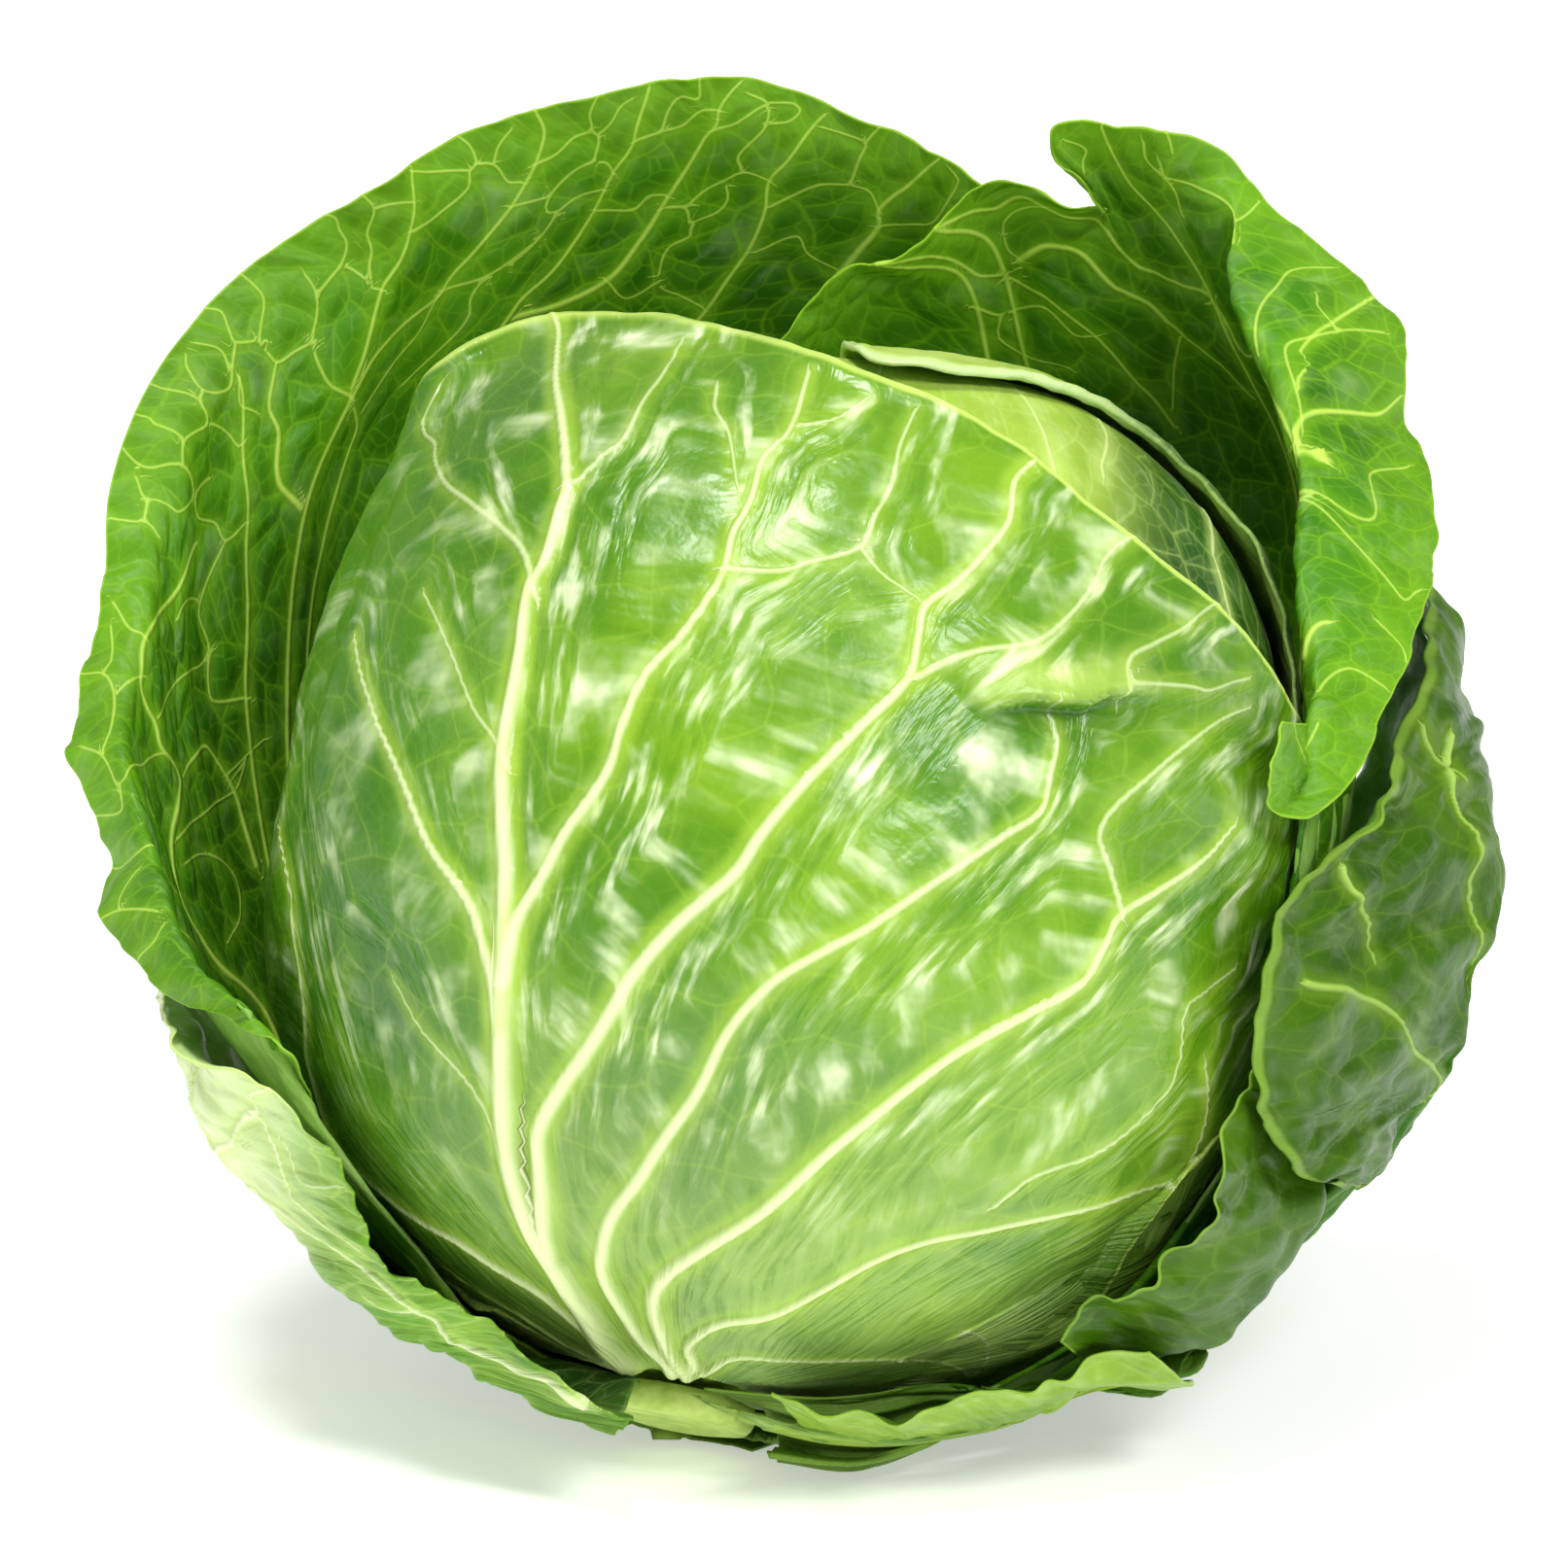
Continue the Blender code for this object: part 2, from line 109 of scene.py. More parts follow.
def seen(x, z, away):
    k = (VIEW_DISTANCE + away) / VIEW_DISTANCE
    return view_vector(x * k, away, VIEW_AIM + (z - VIEW_AIM) * k)


def on_head(x, z, off=0.0):
    best = None
    for away in np.arange(*DEPTHS):
        p = seen(x, z, away)
        r = np.linalg.norm(p)
        excess = r - head_radius(p / r) - off
        if excess <= 0.0:
            return p
        if best is None or excess < best[0]:
            best = (excess, p)
    return best[1]


def around(azimuth, polar, off=0.0):
    a, t = math.radians(azimuth), math.radians(polar)
    d = math.cos(t) * STEM_AXIS + math.sin(t) * (math.cos(a) * FRONT + math.sin(a) * SIDE)
    return d * (head_radius(d) + off)


def smooth_rows(points, knots, samples):
    """Catmull-Rom curve through points (k, ...) given at knots, read at samples."""
    points = np.asarray(points, float)
    slopes = np.empty_like(points)
    slopes[0] = (points[1] - points[0]) / (knots[1] - knots[0])
    slopes[-1] = (points[-1] - points[-2]) / (knots[-1] - knots[-2])
    for i in range(1, len(points) - 1):
        slopes[i] = (points[i + 1] - points[i - 1]) / (knots[i + 1] - knots[i - 1])
    out = []
    for s in samples:
        i = int(np.clip(np.searchsorted(knots, s) - 1, 0, len(points) - 2))
        h = knots[i + 1] - knots[i]
        u = (s - knots[i]) / h
        out.append((2 * u ** 3 - 3 * u ** 2 + 1) * points[i] + (u ** 3 - 2 * u ** 2 + u) * h * slopes[i]
                   + (3 * u ** 2 - 2 * u ** 3) * points[i + 1] + (u ** 3 - u ** 2) * h * slopes[i + 1])
    return np.array(out)


def chord_knots(row):
    steps = np.linalg.norm(np.diff(np.array(row), axis=0), axis=1) ** KNOT_POWER
    knots = np.concatenate([[0.0], np.cumsum(steps)])
    return knots / knots[-1]


def slerp(a, b, t):
    angle = math.acos(float(np.clip(np.dot(a, b), -1.0, 1.0)))
    if angle < 1e-6:
        return a
    return (math.sin((1 - t) * angle) * a + math.sin(t * angle) * b) / math.sin(angle)


def body_rows(leaf, first_row, knots):
    start, end = leaf["azimuths"]
    rows = []
    for j in range(HUG_ROWS):
        f = j / HUG_ROWS
        row = []
        for s, target in zip(knots, first_row):
            base = unit(around(start + (end - start) * s, COLLAR_POLAR))
            reach = np.linalg.norm(target)
            goal = target / reach
            d = slerp(base, goal, f)
            lift = max(0.0, (f - leaf["leaves_head"]) / (1.0 - leaf["leaves_head"])) ** leaf["flare"]
            stand = leaf["layer"] * (BLADE + LEAF_GAP) / 2
            row.append(d * (head_radius(d) + stand + (reach - head_radius(goal) - stand) * lift))
        rows.append(row)
    return rows


def leaf_grid(leaf):
    """The middle surface of a leaf as a grid: rows from stem to margin, columns along the margin."""
    chosen = leaf["rows"]
    knots = chord_knots(chosen[-1])
    rows = np.array(body_rows(leaf, chosen[0], knots) + [list(r) for r in chosen])
    columns = np.linspace(0.0, 1.0, leaf["columns"])
    wide = np.swapaxes(smooth_rows(np.swapaxes(rows, 0, 1), knots, columns), 0, 1)
    gaps = np.linalg.norm(np.diff(rows, axis=0), axis=2).mean(axis=1) ** leaf["even"]
    heights = np.concatenate([[0.0], np.cumsum(gaps)])
    heights /= heights[-1]
    levels = np.linspace(0.0, 1.0, leaf["levels"])
    return smooth_rows(wide, heights, levels)


def grid_normals(grid):
    along = np.gradient(grid, axis=1)
    across = np.gradient(grid, axis=0)
    normals = np.cross(along, across)
    normals /= np.maximum(np.linalg.norm(normals, axis=2, keepdims=True), 1e-9)
    outward = np.sum(normals * grid) > 0
    return normals if outward else -normals


def wave_margin(grid, leaf):
    rng = random.Random(leaf["seed"])
    levels, columns = grid.shape[:2]
    s = np.linspace(0.0, 1.0, columns)
    wave = np.zeros(columns)
    for count, share in leaf["waves"]:
        wave += share * np.sin(2 * math.pi * (count * s + rng.random()))
    rise = np.linspace(0.0, 1.0, levels) ** 3
    return grid + grid_normals(grid) * (rise[:, None] * wave[None, :])[:, :, None]


def cone(direction):
    side = unit(np.cross(direction, STEM_AXIS + 0.01 * RIGHT))
    other = np.cross(direction, side)
    yield direction
    for degrees in SPREAD:
        spread = math.tan(math.radians(degrees))
        for k in range(RING_RAYS):
            a = 2 * math.pi * k / RING_RAYS
            yield unit(direction + spread * (math.cos(a) * side + math.sin(a) * other))


def between(grid):
    levels, columns = grid.shape[:2]
    fine = np.empty((2 * levels - 1, 2 * columns - 1, 3))
    fine[::2, ::2] = grid
    fine[1::2, ::2] = (grid[1:] + grid[:-1]) / 2
    fine[:, 1::2] = (fine[:, 2::2] + fine[:, :-2:2]) / 2
    return fine


def shortfall(points, inner, rays_about):
    lack = np.zeros(points.shape[:2])
    for i, j in np.ndindex(lack.shape):
        reach = np.linalg.norm(points[i, j])
        for ray in rays_about(points[i, j] / reach):
            hit = inner.ray_cast(Vector(ray * OUTSIDE), Vector(-ray))
            if hit[0] is not None:
                lack[i, j] = max(lack[i, j], np.linalg.norm(hit[0]) + LEAF_GAP - reach)
    return lack


def moved_out(grid, lift):
    return grid * (1.0 + lift / np.linalg.norm(grid, axis=2))[:, :, None]


def clear_of(grid, inner):
    """Push a leaf outwards until it is clear of everything inside it, also between its points."""
    grid = moved_out(grid, shortfall(grid, inner, cone))
    for rays_about in (cone, lambda direction: [direction]):
        lack = np.pad(shortfall(between(grid), inner, rays_about), 1)
        levels, columns = grid.shape[:2]
        lift = np.zeros((levels, columns))
        for i in range(3):
            for j in range(3):
                lift = np.maximum(lift, lack[i:i + 2 * levels - 1:2, j:j + 2 * columns - 1:2])
        grid = moved_out(grid, lift)
    return grid


def rest_on_floor(points, height):
    out = points.copy()
    out[..., 2] = np.maximum(out[..., 2], height - HEAD_CENTRE[2])
    return out


def cad_blade(leaf, grid):
    """The CAD blade's points and triangles, which the next leaf is kept clear of."""
    normals = grid_normals(grid)
    floor = leaf["floor"] * FLOOR_STEP
    outer = rest_on_floor(grid + normals * BLADE / 2, floor)
    inner = rest_on_floor(grid - normals * BLADE / 2, floor + BLADE)
    levels, columns = grid.shape[:2]
    count = levels * columns
    verts = [tuple(p) for p in outer.reshape(-1, 3)] + [tuple(p) for p in inner.reshape(-1, 3)]
    faces = []
    for i in range(levels - 1):
        for j in range(columns - 1):
            a, b = i * columns + j, i * columns + j + 1
            c, d = a + columns, b + columns
            faces += [(a, b, d), (a, d, c)]
            faces += [(a + count, d + count, b + count), (a + count, c + count, d + count)]
    rim = [j for j in range(columns)]
    rim += [i * columns + columns - 1 for i in range(1, levels)]
    rim += [(levels - 1) * columns + j for j in range(columns - 2, -1, -1)]
    rim += [i * columns for i in range(levels - 2, 0, -1)]
    for a, b in zip(rim, rim[1:] + rim[:1]):
        faces += [(a, a + count, b + count), (a, b + count, b)]
    return verts, faces


def cad_heart():
    rings, sides = HEART_RINGS, HEART_SIDES
    verts = [tuple(around(0.0, 0.0))]
    faces = []
    for i in range(1, rings):
        polar = 180.0 * i / rings
        for j in range(sides):
            verts.append(tuple(around(360.0 * j / sides, polar)))
    verts.append(tuple(around(0.0, 180.0)))
    last = len(verts) - 1
    for j in range(sides):
        k = (j + 1) % sides
        faces.append((0, 1 + k, 1 + j))
        faces.append((last, last - sides + j, last - sides + k))
        for i in range(rings - 2):
            a, b = 1 + i * sides + j, 1 + i * sides + k
            faces += [(a, b, b + sides), (a, b + sides, a + sides)]
    return rest_on_floor(np.array(verts), HEART_FLOOR), faces


def row(*points):
    return [seen(*p) for p in points]


def front_cover():
    outline = [around(-74, 24, 3), around(-108, 48, 3), around(-130, 74, 3), around(-134, 100, 3),
               around(-124, 122, 3)]
    outline += [on_head(x, z, 4) for x, z in
                ((-57, 71), (-51, 80), (-37, 85), (-21, 86), (-5, 83), (13, 76), (32, 68), (50, 54), (67, 41),
                 (77, 27))]
    outline += [around(92, 96, 4), around(95, 80, 4)]
    outline += [on_head(x, z, 5) for x, z in
                ((78, -30), (66, -42), (54, -58), (43, -73), (27, -82), (8, -84))]
    return outline


LEAVES = [
    {"name": "cover_leaf_rolled", "even": 1.0, "layer": 1, "floor": 3.9, "azimuths": (95, 200),
     "leaves_head": 0.8, "flare": 1.0, "columns": 23, "levels": 14, "seed": 3, "waves": ((4, 0.8), (7, 0.4)),
     "rows": [[around(azimuth, polar, 2) for azimuth, polar in
               ((82, 36), (86, 52), (92, 70), (102, 84), (115, 92), (128, 96), (143, 98), (158, 98),
                (172, 96), (186, 90), (198, 76), (206, 56))],
              [around(azimuth, polar, 2) for azimuth, polar in
               ((81, 37), (82, 56), (86, 76), (97, 106), (110, 119), (124, 129), (142, 135), (158, 139),
                (176, 128), (192, 110), (202, 84), (206, 58))],
              [around(80, 38, 2), around(76, 58, 2), around(74, 80, 2), on_head(80, 47, 3),
               on_head(70, 58, 3), on_head(52, 71, 3), on_head(31, 77, 3), on_head(12, 78, 3),
               around(-170, 150, 2), around(-158, 120, 2), around(-154, 90, 2), around(-153, 60, 2)]]},
    {"name": "cover_leaf_front", "even": 0.7, "layer": 2, "floor": 4.5, "azimuths": (-62, 48),
     "leaves_head": 0.9, "flare": 1.0, "columns": 33, "levels": 13, "seed": 5, "waves": ((5, 0.7), (9, 0.5)),
     "rows": [front_cover()]},
    {"name": "wrapper_right", "even": 0.7, "layer": 3, "floor": 2.6, "azimuths": (200, 112),
     "leaves_head": 0.45, "flare": 1.5, "columns": 37, "levels": 14, "seed": 7,
     "waves": ((6, 1.2), (11, 0.8)),
     "rows": [row((-7, 59, 66), (8, 79, 62), (19, 85, 58), (27, 88, 56), (36, 95, 52), (42, 95, 50),
                  (47, 94, 48), (50, 94, 46), (52, 96, 44), (53, 99, 42), (57, 100, 40), (62, 99, 36),
                  (68, 97, 22), (69, 88, 10), (74, 80, 4), (78, 70, 0), (80, 62, -6), (80, 49, -12),
                  (82, 37, -16), (82, 29, -22), (81, 22, -26), (80, 15, -24), (82, 12, -12), (84, 18, 4)),
              row((-10, 70, 64), (0, 84, 56), (9, 92, 50), (20, 96, 46), (33, 107, 42), (41, 105, 40),
                  (48, 103, 39), (49, 101, 38), (45, 108, 34), (40, 114, 30), (52, 116, 30),
                  (62, 114, 28), (72, 108, 26), (80, 98, 26), (92, 87, 24), (96, 74, 20), (100, 62, 14),
                  (100, 48, 4), (97, 36, -6), (93, 24, -17), (87, 13, -28), (79, 7, -38), (73, 13, -44),
                  (76, 22, -40))]},
    {"name": "wrapper_left", "even": 0.7, "layer": 4, "floor": 1.4, "azimuths": (-76, -205),
     "leaves_head": 0.45, "flare": 1.5, "columns": 41, "levels": 14, "seed": 11,
     "waves": ((7, 1.2), (13, 0.8)),
     "rows": [row((-78, -46, 4), (-78, -38, -12), (-78, -32, -26), (-79, -26, -38), (-85, -20, -40),
                  (-92, -14, -34), (-96, -5, -26), (-99, 6, -14), (-102, 18, -2), (-101, 31, 10),
                  (-98, 43, 18), (-96, 56, 26), (-90, 70, 33), (-79, 82, 41), (-65, 92, 46),
                  (-50, 101, 52), (-36, 106, 57), (-22, 110, 60), (-10, 111, 62), (4, 106, 64),
                  (17, 102, 65), (26, 96, 66), (34, 85, 68), (38, 71, 72)),
              row((-73, -50, -6), (-73, -42, -22), (-74, -35, -34), (-76, -27, -42), (-91, -21, -34),
                  (-100, -14, -24), (-105, -6, -14), (-106, 7, -4), (-109, 18, 6), (-108, 31, 14),
                  (-105, 44, 20), (-104, 59, 26), (-98, 75, 32), (-86, 90, 38), (-71, 101, 42),
                  (-54, 111, 48), (-39, 117, 52), (-23, 121, 55), (-10, 123, 57), (6, 118, 58),
                  (20, 113, 58), (31, 106, 58), (41, 95, 60), (47, 80, 64))]},
    {"name": "leaf_lower_right", "even": 0.7, "layer": 4, "floor": 2.6, "azimuths": (78, 12),
     "leaves_head": 0.5, "flare": 1.3, "columns": 15, "levels": 10, "seed": 13, "waves": ((4, 0.7),),
     "rows": [row((84, -38, -8), (81, -46, -18), (81, -53, -20), (75, -64, -22), (67, -72, -22),
                  (57, -74, -24), (46, -77, -26)),
              row((76, -28, -36), (69, -36, -42), (67, -48, -46), (64, -56, -48), (58, -63, -47),
                  (51, -66, -47), (43, -73, -46))]},
    {"name": "leaf_lower_left", "even": 0.7, "layer": 5, "floor": 0.6, "azimuths": (-128, -24),
     "leaves_head": 0.45, "flare": 1.3, "columns": 25, "levels": 11, "seed": 17, "waves": ((5, 0.8),),
     "rows": [row((-84, 2, 58), (-93, -14, 24), (-94, -26, 5), (-91, -37, -2), (-85, -47, -7),
                  (-76, -56, -12), (-66, -66, -18), (-56, -73, -22), (-46, -78, -28), (-35, -83, -33),
                  (-26, -86, -38)),
              row((-85, 10, 54), (-94, -8, 16), (-90, -20, -22), (-77, -31, -41), (-70, -43, -44),
                  (-66, -53, -41), (-60, -61, -40), (-51, -67, -42), (-42, -74, -45), (-32, -80, -48),
                  (-23, -84, -50))]},
    {"name": "leaf_bottom", "even": 0.7, "layer": 5, "floor": 1.2, "azimuths": (6, 56),
     "leaves_head": 0.5, "flare": 1.3, "columns": 17, "levels": 9, "seed": 19, "waves": ((4, 0.7),),
     "rows": [row((3, -86, -27), (11, -87, -26), (21, -86, -26), (32, -83, -25), (41, -80, -23),
                  (49, -76, -20), (56, -71, -17)),
              row((-2, -81, -47), (8, -84, -47), (18, -85, -46), (28, -82, -45), (37, -79, -43),
                  (45, -75, -41), (53, -69, -37))]},
    {"name": "wrapper_right_low", "even": 0.7, "layer": 5, "floor": 1.2, "azimuths": (60, 148),
     "leaves_head": 0.3, "flare": 1.3, "columns": 27, "levels": 14, "seed": 23, "waves": ((5, 0.8),),
     "rows": [row((88, -48, 6), (93, -43, 4), (97, -37, 2), (102, -30, 0), (106, -18, 0), (109, -6, 4),
                  (110, 4, 8), (109, 11, 16), (107, 15, 28), (103, 22, 44), (90, 22, 66)),
              row((88, -48, -10), (89, -45, -18), (86, -39, -28), (83, -30, -35), (84, -14, -33),
                  (88, -2, -26), (94, 8, -14), (101, 16, 2), (105, 25, 16), (103, 34, 36), (89, 33, 64)),
              row((85, -48, -22), (79, -47, -34), (74, -38, -43), (72, -25, -46), (75, -10, -44),
                  (80, -2, -36), (89, 9, -22), (95, 22, -4), (99, 35, 12), (98, 45, 36),
                  (87, 42, 62))]},
    {"name": "wrapper_back", "even": 0.7, "layer": 5, "floor": 0.0, "azimuths": (130, 236),
     "leaves_head": 0.62, "flare": 1.7, "columns": 27, "levels": 13, "seed": 29,
     "waves": ((5, 1.2), (9, 0.7)),
     "rows": [[around(134, 34, 4), around(136, 54, 6), around(141, 76, 9), around(151, 94, 13),
               around(168, 104, 16), around(188, 107, 17), around(207, 102, 16), around(222, 88, 14),
               around(231, 68, 10), around(235, 46, 6)]]},
]


def join_tree(pieces):
    verts, faces = [], []
    for piece_verts, piece_faces in pieces:
        start = len(verts)
        verts += [Vector(v) for v in piece_verts]
        faces += [tuple(i + start for i in f) for f in piece_faces]
    return BVHTree.FromPolygons(verts, faces)


# Ribs picked on the photograph, as pixels from the stem's side outwards: (half width at the start and
# at the end in millimetres, points). The face they show on is the outer one unless the leaf opens inwards.
FRONT_RIBS_PX = [
    (3.3, 0.55, ((674, 1433), (644, 1396), (611, 1359), (578, 1314), (548, 1263), (528, 1196), (520, 1122),
        (517, 1048), (518, 974), (520, 900), (517, 836), (524, 764), (531, 711), (540, 657), (549, 611),
        (561, 579), (577, 532), (583, 500), (577, 443), (572, 389), (570, 329))),
    (0.7, 0.4, ((583, 500), (590, 496), (619, 471), (644, 454), (661, 418), (686, 382), (701, 350))),
    (1.5, 0.45, ((520, 1010), (529, 974), (537, 944), (563, 900), (583, 860), (619, 800), (640, 746),
        (669, 693), (697, 654), (726, 618), (744, 586), (754, 550), (776, 511), (783, 471), (811, 443),
        (833, 386))),
    (0.7, 0.35, ((744, 588), (797, 586), (836, 580), (883, 564), (901, 529), (919, 500), (920, 461),
        (940, 425))),
    (0.5, 0.3, ((886, 566), (904, 593), (940, 618))),
    (2.0, 0.5, ((566, 1290), (559, 1233), (555, 1203), (555, 1166), (574, 1122), (611, 1063), (652, 996),
        (689, 955), (751, 900), (776, 860), (833, 800), (886, 750), (929, 696), (942, 656), (946, 625),
        (980, 598), (1011, 564), (1034, 537), (1042, 499), (1061, 480))),
    (0.8, 0.35, ((942, 694), (996, 675), (1053, 664), (1091, 637), (1126, 599), (1130, 576), (1168, 553))),
    (1.8, 0.5, ((690, 1415), (666, 1381), (644, 1351), (622, 1314), (618, 1285), (629, 1251), (652, 1214),
        (677, 1177), (714, 1122), (751, 1063), (792, 1007), (844, 981), (900, 948), (986, 891), (1034, 859),
        (1065, 832), (1080, 797), (1088, 759), (1080, 725))),
    (1.9, 0.5, ((705, 1415), (692, 1396), (677, 1366), (670, 1337), (681, 1314), (718, 1285), (770, 1255),
        (800, 1229), (844, 1192), (900, 1140), (986, 1081), (1054, 1040), (1108, 1009), (1131, 981),
        (1151, 941), (1185, 918), (1239, 882), (1267, 850))),
    (0.8, 0.35, ((1151, 936), (1140, 895), (1131, 855), (1183, 797), (1237, 752), (1283, 729))),
    (0.7, 0.35, ((1020, 1240), (1058, 1212), (1122, 1185), (1167, 1158), (1199, 1122), (1212, 1085),
        (1217, 1040), (1239, 1018), (1267, 995))),
    (1.3, 0.4, ((712, 1405), (707, 1388), (714, 1374), (740, 1359), (788, 1351), (844, 1325), (895, 1294),
        (954, 1276), (1031, 1262), (1099, 1244), (1167, 1226), (1203, 1212), (1226, 1185), (1239, 1131),
        (1235, 1095))),
    (1.0, 0.4, ((722, 1410), (751, 1395), (807, 1396), (900, 1396), (980, 1376))),
    (0.6, 0.35, ((1145, 719), (1149, 713), (1151, 679), (1183, 664), (1218, 644), (1252, 618))),
    (0.5, 0.3, ((1156, 702), (1225, 706), (1241, 709), (1283, 698))),
    (1.3, 0.45, ((512, 1040), (505, 1011), (498, 974), (480, 928), (443, 871), (412, 805), (387, 734),
        (366, 657), (338, 606))),
    (0.8, 0.4, ((552, 612), (536, 571), (515, 543), (483, 521), (458, 496), (440, 450), (437, 437),
        (452, 396))),
    (0.5, 0.3, ((525, 790), (515, 764), (486, 729), (461, 664), (440, 614))),
    (0.6, 0.3, ((515, 1180), (503, 1152), (483, 1111), (437, 1060), (410, 1010))),
    (1.4, 0.45, ((650, 1405), (611, 1374), (566, 1337), (522, 1307), (474, 1277), (437, 1255), (400, 1237),
        (350, 1180), (320, 1100), (315, 1040), (305, 963), (297, 912), (290, 851), (264, 805))),
    (0.9, 0.4, ((640, 1410), (600, 1388), (548, 1358), (500, 1330), (452, 1300), (410, 1270))),
    (0.5, 0.3, ((735, 400), (733, 421), (747, 446), (760, 500))),
    (0.5, 0.3, ((819, 439), (861, 432), (886, 411))),
]
